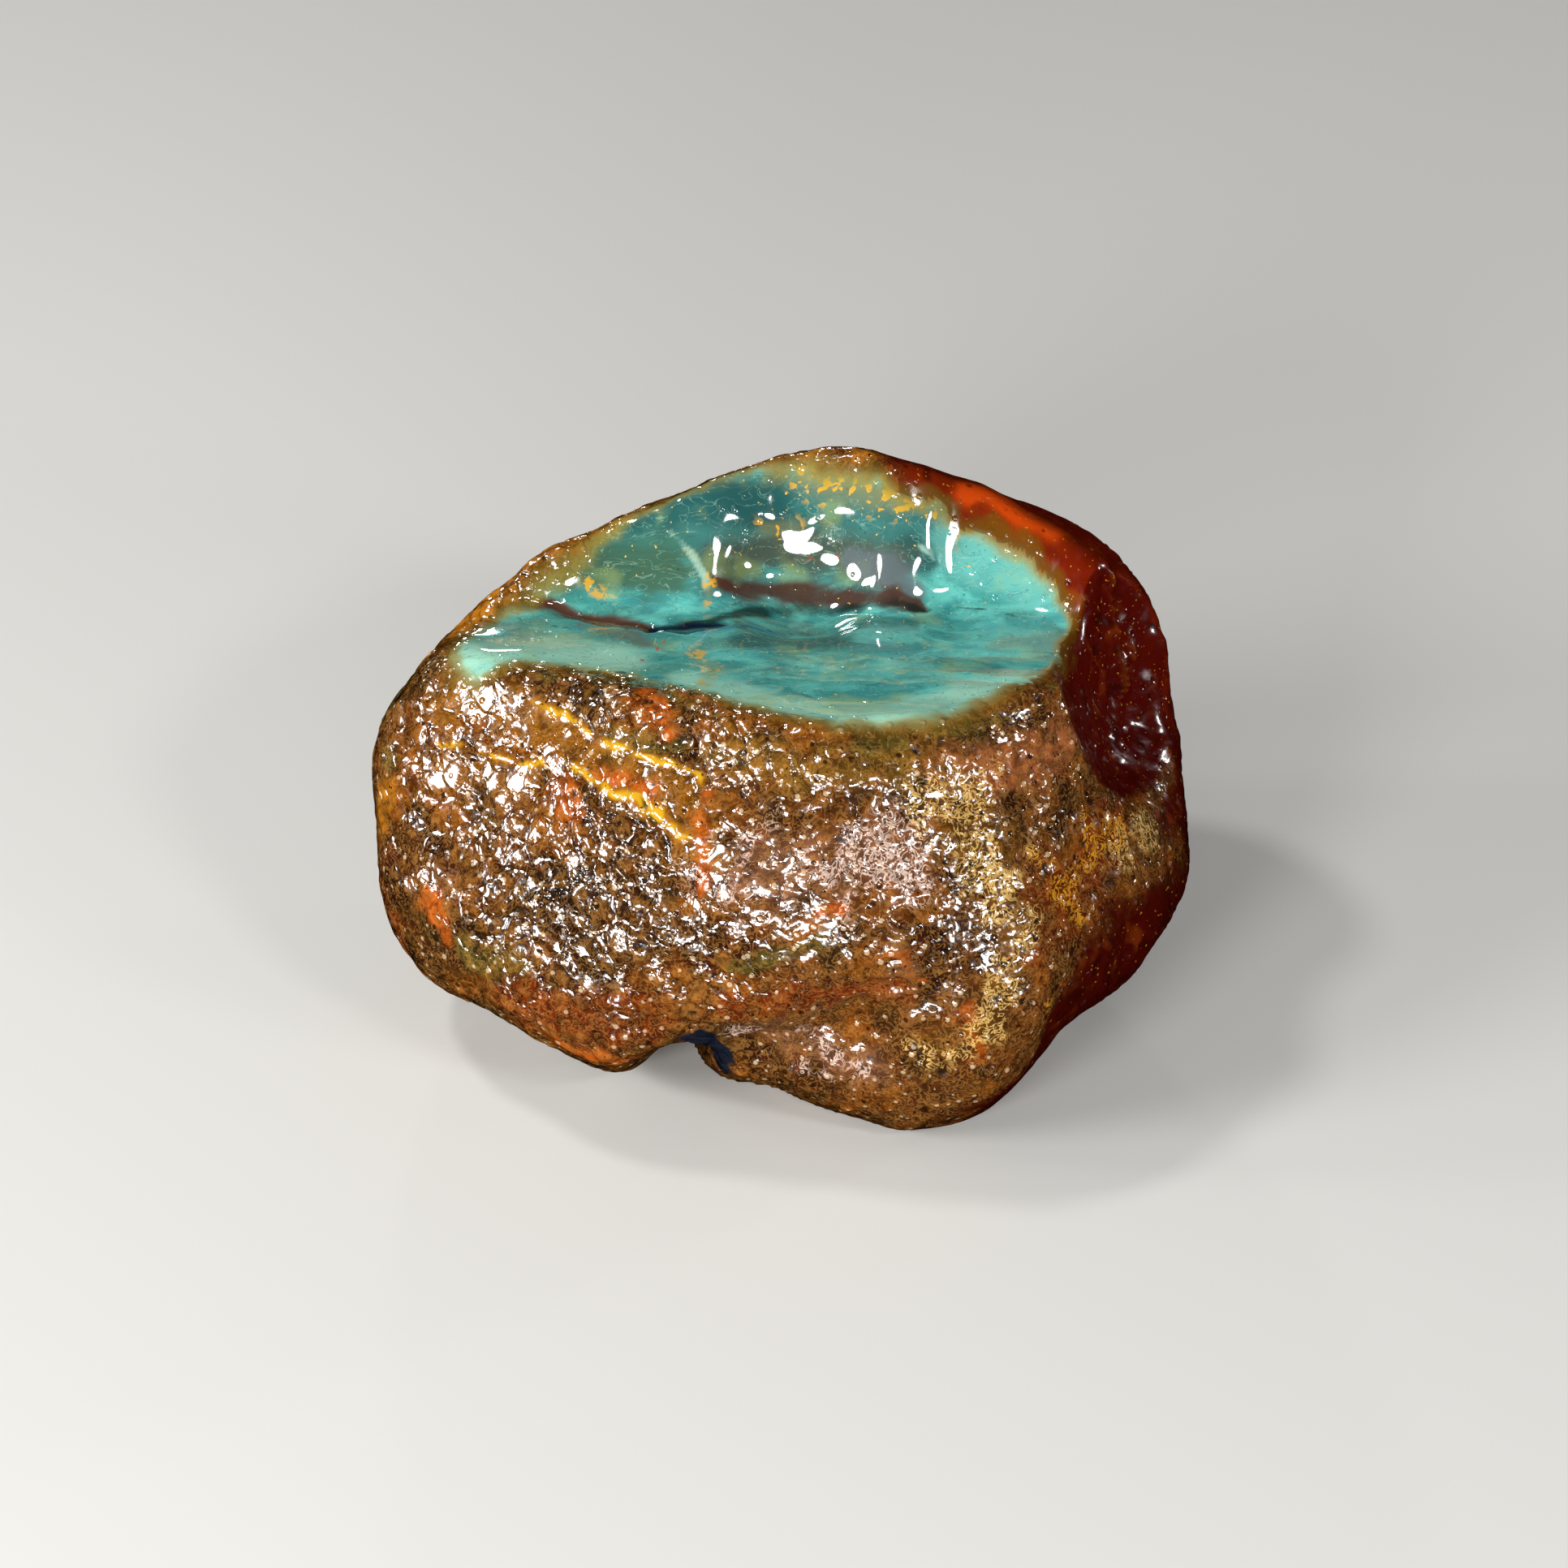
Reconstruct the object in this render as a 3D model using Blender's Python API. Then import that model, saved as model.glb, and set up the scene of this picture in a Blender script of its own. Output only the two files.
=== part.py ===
"""Raw amber piece: one water-worn lump of resin with a broken window across its top."""

import math
import random

import bmesh
import bpy
from mathutils import Vector, geometry, noise

# The shape is worked out in millimetres and written to the mesh in metres.
METRES_PER_MM = 0.001

# A cube of quads is blown up into a ball and then pushed out to the stone's surface.
QUADS_PER_SIDE = 28
HEART = Vector((0.0, 0.0, 20.0))
# How far each point is eased towards its neighbours, which takes the saw teeth off the broken edges.
SMOOTHING = 0.5

# Worn faces as (azimuth, elevation, distance from the heart); azimuth 0 is +X and 90 is +Y.
WORN_FACES = {
    "left_end": (176.0, 0.0, 34.0),
    "left_cheek": (-170.0, -14.0, 35.0),
    "left_shoulder": (154.0, 32.0, 28.0),
    "upper_left": (127.0, 49.0, 25.2),
    "top_back": (92.0, 57.0, 28.8),
    "upper_right": (60.0, 50.0, 30.0),
    "right_shoulder": (24.0, 27.0, 34.8),
    "top_right": (25.0, 62.0, 26.4),
    "right_end": (8.0, -4.0, 36.2),
    "right_foot": (-33.0, -36.0, 29.8),
    "brow": (-84.0, 40.0, 19.2),
    "brow_left": (-122.0, 38.0, 18.2),
    "brow_right": (-52.0, 35.0, 22.0),
    "right_brow": (-21.0, 18.0, 25.8),
    "front": (-95.0, 0.0, 22.5),
    "front_left": (-140.0, 0.0, 28.5),
    "front_right": (-40.0, 2.0, 29.5),
    "toe": (-80.0, -50.0, 27.6),
    "left_keel": (-134.0, -46.0, 26.6),
    "back": (95.0, 10.0, 25.5),
    "back_left": (138.0, -8.0, 28.0),
    "back_right": (48.0, -4.0, 34.0),
    "back_keel": (100.0, -45.0, 25.0),
    "right_keel": (30.0, -40.0, 29.0),
    "left_belly": (160.0, -45.0, 30.0),
}
# The higher this power, the tighter the edge where two worn faces meet.
EDGE_TIGHTNESS = 16.0

# Swellings as (centre, reach, rise); a negative rise is a hollow.
SWELLINGS = {
    "toe_lobe": ((13.0, -18.0, 4.0), 7.0, 1.2),
    "left_cheek": ((-29.0, -9.0, 9.0), 7.0, 2.0),
    "right_waist": ((31.5, 0.0, 24.0), 5.0, -1.5),
    "right_bulge": ((31.0, -3.0, 14.0), 8.0, 2.4),
    "heel": ((-4.0, -18.0, 0.0), 7.0, -5.0),
}

# Grooves as (points, half width, depth); a negative depth is a raised vein.
GROOVES = {
    "notch": (((-8.4, -3.0, 0.0), (-8.4, -15.0, 1.5), (-8.4, -18.5, 6.5)), 2.4, 7.4),
    "notch_tip": (((-8.4, -18.5, 6.5), (-8.0, -19.5, 9.0)), 1.3, 1.6),
    "notch_tail": (((-8.0, -19.0, 7.0), (-3.0, -20.0, 10.0), (6.0, -22.0, 14.0)), 2.6, 1.6),
    "upper_vein": (((-20.5, -9.0, 31.0), (-13.5, -14.0, 29.0), (-7.0, -18.0, 27.5)), 1.6, -0.4),
    "lower_vein": (((-18.0, -13.0, 27.5), (-9.5, -18.0, 24.5)), 1.5, -0.35),
}

# Bites: balls missing from the stone, as (centre, radius).
BITES = {
    "side_chip": ((45.1, -3.4, 36.9), 24.0),
}
BITE_BLEND = 1.0

# The window: a shelf that falls away backwards, and a wall behind it.
SHELF_FRONT = -13.0
SHELF_HEIGHT = 34.3
SHELF_FALL = 0.16
# The shelf is rippled along its length, as (length of a ripple, its width, its height).
SHELF_RIPPLE = (16.0, 4.0, 0.35)
WALL_FOOT = 7.2
WALL_FOOT_HEIGHT = 31.0
WALL_STEEPNESS = 1.35
CREASE_BLEND = 1.2
# The crease opens out and dies away between these two places along the shelf.
CREASE_FADE = (19.5, 25.0)
CREASE_FADE_BLEND = 7.0
RIM_BLEND = 2.4
# Scallops set the wall back, as (middle, half width, set back); crests stand between them.
SCALLOPS = {
    "left": (-13.5, 5.5, 2.6),
    "middle": (0.5, 6.0, 3.4),
    "right": (15.5, 5.5, 2.4),
}
# Bowls are broken out of the wall's foot, as (centre, radii).
BOWLS = {
    "under_middle": ((1.5, 8.0, 37.0), (8.0, 6.0, 7.6)),
    "under_right": ((14.0, 6.5, 38.0), (6.0, 6.0, 7.4)),
}

# Low lumps all over, and shallow pits scattered over the rind.
LUMP_SIZE = 11.0
LUMP_HEIGHT = 0.8
KNOB_SIZE = 4.5
KNOB_HEIGHT = 0.35
KNOB_OFFSET = Vector((7.0, 3.0, 5.0))
PIT_COUNT = 40
PIT_REACH = (1.8, 3.0)
PIT_DEPTH = (0.3, 0.6)
PIT_SEED = 11

AMBER_COLOUR = (0.20, 0.075, 0.018, 1.0)
AMBER_ROUGHNESS = 0.18


def direction_of(azimuth, elevation):
    turn = math.radians(azimuth)
    lift = math.radians(elevation)
    return Vector((math.cos(turn) * math.cos(lift), math.sin(turn) * math.cos(lift), math.sin(lift)))


def worn_distance(direction, faces):
    """Distance from the heart to the worn faces, rounded where they meet."""
    total = 0.0
    for normal, distance in faces:
        toward = normal.dot(direction)
        if toward > 0.0:
            total += (toward / distance) ** EDGE_TIGHTNESS
    return total ** (-1.0 / EDGE_TIGHTNESS)


def bell(gap, reach):
    return math.exp(-((gap / reach) ** 2))


def swelling_at(point):
    rise = 0.0
    for centre, reach, height in SWELLINGS.values():
        rise += height * bell((point - Vector(centre)).length, reach)
    return rise


def scattered_pits():
    """Pits as (direction from the heart, reach, depth)."""
    chance = random.Random(PIT_SEED)
    pits = []
    for _ in range(PIT_COUNT):
        toward = Vector([chance.gauss(0.0, 1.0) for _ in range(3)]).normalized()
        pits.append((toward, chance.uniform(*PIT_REACH), chance.uniform(*PIT_DEPTH)))
    return pits


def pit_at(point, pits):
    reach = (point - HEART).length
    cut = 0.0
    for toward, width, depth in pits:
        cut = max(cut, depth * bell((point - HEART - toward * reach).length, width))
    return cut


def groove_at(point):
    """Depth of the grooves at a point; their lines are first pushed out to the point's own distance."""
    cut = 0.0
    reach = (point - HEART).length
    for points, half_width, depth in GROOVES.values():
        line = [HEART + (Vector(corner) - HEART).normalized() * reach for corner in points]
        gap = math.inf
        for start, end in zip(line, line[1:]):
            nearest, along = geometry.intersect_point_line(point, start, end)
            nearest = start.lerp(end, min(1.0, max(0.0, along)))
            gap = min(gap, (point - nearest).length)
        cut += depth * bell(gap, half_width)
    return cut


def lumps_at(point):
    low = noise.noise(point / LUMP_SIZE) * LUMP_HEIGHT
    fine = noise.noise(point / KNOB_SIZE + KNOB_OFFSET) * KNOB_HEIGHT
    return low + fine


def lower_of(first, second, blend):
    """The lower of two heights, with a fillet of about the blend where they cross."""
    spread = max(blend - abs(first - second), 0.0) / blend
    return min(first, second) - blend * spread * spread / 4.0


def higher_of(first, second, blend):
    return -lower_of(-first, -second, blend)


def window_height(x, y):
    """Height of the broken window over a point of the plan."""
    ripple_length, ripple_width, ripple_height = SHELF_RIPPLE
    shelf = SHELF_HEIGHT - SHELF_FALL * (y - SHELF_FRONT)
    shelf += ripple_height * noise.noise(Vector((x / ripple_length, y / ripple_width, 0.0)))
    foot = WALL_FOOT
    for middle, half_width, set_back in SCALLOPS.values():
        foot += set_back * bell(x - middle, half_width)
    wall = WALL_FOOT_HEIGHT + WALL_STEEPNESS * (y - foot)
    faded = min(1.0, max(0.0, (x - CREASE_FADE[0]) / (CREASE_FADE[1] - CREASE_FADE[0])))
    height = higher_of(shelf, wall, CREASE_BLEND + CREASE_FADE_BLEND * faded * faded * (3.0 - 2.0 * faded))
    for centre, radii in BOWLS.values():
        across = (x - centre[0]) / radii[0]
        back = (y - centre[1]) / radii[1]
        inside = 1.0 - across * across - back * back
        if inside > 0.0:
            height = lower_of(height, centre[2] - radii[2] * math.sqrt(inside), CREASE_BLEND)
    return height


def bite_distance(direction, centre, radius):
    """Distance from the heart at which a direction enters a missing ball."""
    offset = Vector(centre) - HEART
    along = offset.dot(direction)
    aside = offset.length_squared - along * along
    if along < 0.0 or aside > radius * radius:
        return math.inf
    return along - math.sqrt(radius * radius - aside)


def surface_point(direction, faces, pits):
    """Where the stone's surface lies along a direction from its heart, in millimetres."""
    reach = worn_distance(direction, faces)
    for centre, radius in BITES.values():
        reach = lower_of(reach, bite_distance(direction, centre, radius), BITE_BLEND)
    worn = HEART + direction * reach
    relief = swelling_at(worn) + lumps_at(worn) - groove_at(worn) - pit_at(worn, pits)
    point = worn + direction * relief
    point.z = lower_of(point.z, window_height(point.x, point.y), RIM_BLEND)
    if point.z < 0.0:
        point = HEART + direction * (HEART.z / -direction.z)
    return point


def centre_over_origin(shape):
    """Slide the shape sideways until the middle of its box stands over the origin."""
    for axis in (0, 1):
        sides = [vert.co[axis] for vert in shape.verts]
        middle = (min(sides) + max(sides)) / 2.0
        for vert in shape.verts:
            vert.co[axis] -= middle


def make_nugget(collection, material):
    faces = [(direction_of(turn, lift), distance) for turn, lift, distance in WORN_FACES.values()]
    pits = scattered_pits()
    shape = bmesh.new()
    bmesh.ops.create_cube(shape, size=2.0)
    bmesh.ops.subdivide_edges(shape, edges=shape.edges[:], cuts=QUADS_PER_SIDE - 1, use_grid_fill=True)
    for vert in shape.verts:
        # The tangent spreads the quads evenly over the ball.
        spread = Vector([math.tan(side * math.pi / 4.0) for side in vert.co])
        vert.co = surface_point(spread.normalized(), faces, pits) * METRES_PER_MM
    above_base = [vert for vert in shape.verts if vert.co.z > 0.0]
    bmesh.ops.smooth_vert(
        shape, verts=above_base, factor=SMOOTHING, use_axis_x=True, use_axis_y=True, use_axis_z=True
    )
    centre_over_origin(shape)
    bmesh.ops.recalc_face_normals(shape, faces=shape.faces[:])

    mesh = bpy.data.meshes.new("amber_nugget")
    shape.to_mesh(mesh)
    shape.free()
    mesh.materials.append(material)
    mesh.shade_smooth()
    nugget = bpy.data.objects.new("amber_nugget", mesh)
    collection.objects.link(nugget)
    return nugget


def make_amber():
    material = bpy.data.materials.new("Amber")
    material.use_nodes = True
    surface = material.node_tree.nodes["Principled BSDF"]
    surface.inputs["Base Color"].default_value = AMBER_COLOUR
    surface.inputs["Roughness"].default_value = AMBER_ROUGHNESS
    surface.inputs["Metallic"].default_value = 0.0
    material.diffuse_color = AMBER_COLOUR
    return material


def main():
    for leftover in list(bpy.data.objects):
        bpy.data.objects.remove(leftover, do_unlink=True)
    collection = bpy.data.collections.new("raw_amber_piece")
    bpy.context.scene.collection.children.link(collection)
    make_nugget(collection, make_amber())


main()
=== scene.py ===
import math
import random

import bmesh
import bpy
import numpy as np
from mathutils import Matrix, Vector, noise


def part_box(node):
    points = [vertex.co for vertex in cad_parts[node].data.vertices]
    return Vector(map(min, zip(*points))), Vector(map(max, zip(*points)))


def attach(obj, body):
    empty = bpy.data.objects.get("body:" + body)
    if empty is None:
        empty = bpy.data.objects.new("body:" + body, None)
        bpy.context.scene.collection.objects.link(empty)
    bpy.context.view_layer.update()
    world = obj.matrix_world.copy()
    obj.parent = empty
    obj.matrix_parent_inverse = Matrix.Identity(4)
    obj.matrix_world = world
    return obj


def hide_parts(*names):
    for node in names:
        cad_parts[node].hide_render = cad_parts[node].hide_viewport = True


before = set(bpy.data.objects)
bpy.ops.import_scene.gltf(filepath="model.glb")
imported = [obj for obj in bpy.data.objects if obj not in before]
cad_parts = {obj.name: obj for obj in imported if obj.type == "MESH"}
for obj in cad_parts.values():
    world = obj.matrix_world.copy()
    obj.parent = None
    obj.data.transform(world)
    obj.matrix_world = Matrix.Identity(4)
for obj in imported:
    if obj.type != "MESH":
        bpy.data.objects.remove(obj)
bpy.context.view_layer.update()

mm = 0.001  # shapes are worked out in millimetres and written in metres


def linearColour(hexText):
    # an sRGB hex colour, turned linear for the shaders
    parts = [int(hexText[i:i + 2], 16) / 255.0 for i in (1, 3, 5)]
    parts = [p / 12.92 if p <= 0.04045 else ((p + 0.055) / 1.055) ** 2.4 for p in parts]
    return (*parts, 1.0)


def addNode(tree, kind, inputs=(), **settings):
    # adds one node with its settings and fills its inputs, in order or by name: a node or a socket is linked
    node = tree.nodes.new(kind)
    for name, value in settings.items():
        setattr(node, name, value)
    sockets = [socket for socket in node.inputs if socket.enabled]
    byName = {socket.name: socket for socket in reversed(sockets)}
    for place, value in inputs.items() if isinstance(inputs, dict) else enumerate(inputs):
        socket = sockets[place] if isinstance(place, int) else byName[place]
        if isinstance(value, bpy.types.Node):
            value = next(output for output in value.outputs if output.enabled)
        if isinstance(value, bpy.types.NodeSocket):
            tree.links.new(value, socket)
        elif isinstance(value, str) and socket.type == "RGBA":
            socket.default_value = linearColour(value)
        else:
            socket.default_value = value
    return node


def easeBetween(values, low, high):
    # 0 below low, 1 above high, and a soft step between them
    share = np.clip((values - low) / (high - low), 0.0, 1.0)
    return share * share * (3.0 - 2.0 * share)


def bell(gap, reach):
    return np.exp(-((gap / reach) ** 2))


def lowerOf(first, second, blend):
    spread = np.maximum(blend - np.abs(first - second), 0.0) / blend
    return np.minimum(first, second) - blend * spread * spread / 4.0


def higherOf(first, second, blend):
    return -lowerOf(-first, -second, blend)


def noiseAt(points, size, offset=(0.0, 0.0, 0.0)):
    places = points / size + np.array(offset)
    return np.array([noise.noise(Vector(place)) for place in places])


def gapToLine(points, corners, reaches=1.0):
    # how far each point is from a line of corners, measured in the line's reach at the nearest place
    if np.isscalar(reaches):
        reaches = [reaches] * len(corners)
    nearest = np.full(len(points), np.inf)
    for start, end, startReach, endReach in zip(corners[:-1], corners[1:], reaches[:-1], reaches[1:]):
        start, end = np.atleast_2d(start), np.atleast_2d(end)
        along = end - start
        share = np.sum((points - start) * along, axis=1) / np.maximum(np.sum(along * along, axis=1), 1e-9)
        share = np.clip(share, 0.0, 1.0)
        gap = np.linalg.norm(points - start - along * share[:, None], axis=1)
        nearest = np.minimum(nearest, gap / (startReach + (endReach - startReach) * share))
    return nearest


# the stone's shape: the same rule as the CAD solid, on a finer net of quads
stone = {
    "quadsPerSide": 126,  # 6 sides of 126 x 126 quads, about 0.3 mm each, under 200,000 triangles
    "smoothRounds": 4,
    "smoothStrength": 0.5,
    "heart": (0.0, 0.0, 20.0),
    "edgeTightness": 16.0,
    # worn faces as (azimuth, elevation, distance from the heart)
    "wornFaces": {
        "leftEnd": (176.0, 0.0, 34.0),
        "leftCheek": (-170.0, -14.0, 35.0),
        "leftShoulder": (154.0, 32.0, 28.0),
        "upperLeft": (127.0, 49.0, 25.2),
        "topBack": (92.0, 57.0, 28.8),
        "upperRight": (60.0, 50.0, 30.0),
        "rightShoulder": (24.0, 27.0, 34.8),
        "topRight": (25.0, 62.0, 26.4),
        "rightEnd": (8.0, -4.0, 36.2),
        "rightFoot": (-33.0, -36.0, 29.8),
        "brow": (-84.0, 40.0, 19.2),
        "browLeft": (-122.0, 38.0, 18.2),
        "browRight": (-52.0, 35.0, 22.0),
        "rightBrow": (-21.0, 18.0, 25.8),
        "front": (-95.0, 0.0, 22.5),
        "frontLeft": (-140.0, 0.0, 28.5),
        "frontRight": (-40.0, 2.0, 29.5),
        "toe": (-80.0, -50.0, 27.6),
        "leftKeel": (-134.0, -46.0, 26.6),
        "back": (95.0, 10.0, 25.5),
        "backLeft": (138.0, -8.0, 28.0),
        "backRight": (48.0, -4.0, 34.0),
        "backKeel": (100.0, -45.0, 25.0),
        "rightKeel": (30.0, -40.0, 29.0),
        "leftBelly": (160.0, -45.0, 30.0),
    },
    # swellings as (centre, reach, rise)
    "swellings": {
        "toeLobe": ((13.0, -18.0, 4.0), 7.0, 1.2),
        "leftCheek": ((-29.0, -9.0, 9.0), 7.0, 2.0),
        "rightWaist": ((31.5, 0.0, 24.0), 5.0, -1.5),
        "rightBulge": ((31.0, -3.0, 14.0), 8.0, 2.4),
        "heel": ((-4.0, -18.0, 0.0), 7.0, -5.0),
    },
    # grooves and raised veins as (points, half width, depth)
    "grooves": {
        "notch": (((-8.4, -3.0, 0.0), (-8.4, -15.0, 1.5), (-8.4, -18.5, 6.5)), 2.4, 7.4),
        "notchTip": (((-8.4, -18.5, 6.5), (-8.0, -19.5, 9.0)), 1.3, 1.6),
        "notchTail": (((-8.0, -19.0, 7.0), (-3.0, -20.0, 10.0), (6.0, -22.0, 14.0)), 2.6, 1.6),
        "upperVein": (((-20.5, -9.0, 31.0), (-13.5, -14.0, 29.0), (-7.0, -18.0, 27.5)), 1.6, -0.4),
        "lowerVein": (((-18.0, -13.0, 27.5), (-9.5, -18.0, 24.5)), 1.5, -0.35),
    },
    "sideChip": ((45.1, -3.4, 36.9), 24.0),  # centre and radius of the ball that bites it out
    "biteBlend": 0.6,
    # the broken window: a shelf that falls away backwards and a wall behind it
    "shelfFront": -13.0,
    "shelfHeight": 34.3,
    "shelfFall": 0.16,
    "shelfRipple": (16.0, 4.0, 0.35),  # length, width, height
    "wallFoot": 7.2,
    "wallFootHeight": 31.0,
    "wallSteepness": 1.35,
    "creaseBlend": 1.0,
    "creaseFade": (19.5, 25.0),  # from and to, along the stone
    "creaseFadeBlend": 7.0,
    "rimBlend": 2.0,
    # scoops of the wall as (middle, half width, set back), and bowls under it as (centre, radii)
    "scallops": {"left": (-13.5, 5.5, 2.6), "middle": (0.5, 6.0, 3.4), "right": (15.5, 5.5, 2.4)},
    "bowls": {
        "underMiddle": ((1.5, 8.0, 37.0), (8.0, 6.0, 7.6)),
        "underRight": ((14.0, 6.5, 38.0), (6.0, 6.0, 7.4)),
    },
    "lumps": (11.0, 0.8),  # size, height
    "knobs": (4.5, 0.35, (7.0, 3.0, 5.0)),  # size, height, offset
    "pits": (40, (1.8, 3.0), (0.3, 0.6), 11),  # how many, reach, depth, seed
}
heart = np.array(stone["heart"])


def towards(azimuth, elevation):
    turn, lift = math.radians(azimuth), math.radians(elevation)
    return np.array([math.cos(turn) * math.cos(lift), math.sin(turn) * math.cos(lift), math.sin(lift)])


def wornReach(directions):
    total = np.zeros(len(directions))
    for azimuth, elevation, distance in stone["wornFaces"].values():
        facing = np.maximum(directions @ towards(azimuth, elevation), 0.0)
        total += (facing / distance) ** stone["edgeTightness"]
    return total ** (-1.0 / stone["edgeTightness"])


def chipReach(directions):
    centre, radius = stone["sideChip"]
    offset = np.array(centre) - heart
    along = directions @ offset
    aside = offset @ offset - along * along
    inside = (along > 0.0) & (aside < radius * radius)
    near = along - np.sqrt(np.maximum(radius * radius - aside, 0.0))
    return np.where(inside, near, 1e6)  # and far out of reach where the ball isn't met


def windowHeight(x, y):
    length, width, height = stone["shelfRipple"]
    ripples = np.array([noise.noise(Vector((a / length, b / width, 0.0))) for a, b in zip(x, y)])
    shelf = stone["shelfHeight"] - stone["shelfFall"] * (y - stone["shelfFront"]) + height * ripples
    foot = np.full(len(x), stone["wallFoot"])
    for middle, halfWidth, setBack in stone["scallops"].values():
        foot += setBack * bell(x - middle, halfWidth)
    wall = stone["wallFootHeight"] + stone["wallSteepness"] * (y - foot)
    soft = easeBetween(x, *stone["creaseFade"])  # the crease dies out before it reaches the right end
    surface = higherOf(shelf, wall, stone["creaseBlend"] + soft * stone["creaseFadeBlend"])
    for centre, radii in stone["bowls"].values():
        inside = 1.0 - ((x - centre[0]) / radii[0]) ** 2 - ((y - centre[1]) / radii[1]) ** 2
        bowl = centre[2] - radii[2] * np.sqrt(np.maximum(inside, 0.0))
        surface = np.where(inside > 0.0, lowerOf(surface, bowl, stone["creaseBlend"]), surface)
    return surface


def surfaceRelief(worn):
    relief = np.zeros(len(worn))
    for centre, reach, rise in stone["swellings"].values():
        relief += rise * bell(np.linalg.norm(worn - np.array(centre), axis=1), reach)
    relief += noiseAt(worn, stone["lumps"][0]) * stone["lumps"][1]
    relief += noiseAt(worn, stone["knobs"][0], stone["knobs"][2]) * stone["knobs"][1]
    reach = np.linalg.norm(worn - heart, axis=1)[:, None]
    for corners, halfWidth, depth in stone["grooves"].values():
        rays = [np.array(corner) - heart for corner in corners]
        line = [heart + ray / np.linalg.norm(ray) * reach for ray in rays]
        relief -= depth * bell(gapToLine(worn, line), halfWidth)
    count, widths, depths, seed = stone["pits"]
    chance = random.Random(seed)
    deepest = np.zeros(len(worn))
    for _ in range(count):
        ray = np.array([chance.gauss(0.0, 1.0) for _ in range(3)])
        ray /= np.linalg.norm(ray)
        width, depth = chance.uniform(*widths), chance.uniform(*depths)
        gap = np.linalg.norm(worn - heart - ray * reach, axis=1)
        deepest = np.maximum(deepest, depth * bell(gap, width))
    return relief - deepest


def makeStoneMesh():
    net = bmesh.new()
    bmesh.ops.create_cube(net, size=2.0)
    cuts = stone["quadsPerSide"] - 1
    bmesh.ops.subdivide_edges(net, edges=net.edges[:], cuts=cuts, use_grid_fill=True)
    corners = np.array([vert.co for vert in net.verts])
    directions = np.tan(corners * (math.pi / 4.0))  # which leaves the quads even on the ball
    directions /= np.linalg.norm(directions, axis=1)[:, None]

    reach = lowerOf(wornReach(directions), chipReach(directions), stone["biteBlend"])
    worn = heart + directions * reach[:, None]
    places = worn + directions * surfaceRelief(worn)[:, None]
    window = windowHeight(places[:, 0], places[:, 1])
    places[:, 2] = lowerOf(places[:, 2], window, stone["rimBlend"])
    under = places[:, 2] < 0.0
    places[under] = heart + directions[under] * (heart[2] / -directions[under, 2])[:, None]
    places[under, 2] = 0.0
    for vert, place in zip(net.verts, places):
        vert.co = place
    above = [vert for vert in net.verts if vert.co.z > 0.0]
    axes = {"use_axis_x": True, "use_axis_y": True, "use_axis_z": True}
    for _ in range(stone["smoothRounds"]):
        bmesh.ops.smooth_vert(net, verts=above, factor=stone["smoothStrength"], **axes)
    bmesh.ops.recalc_face_normals(net, faces=net.faces[:])
    return net, chipReach(directions) - wornReach(directions)  # the second is below zero in the chip


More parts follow.
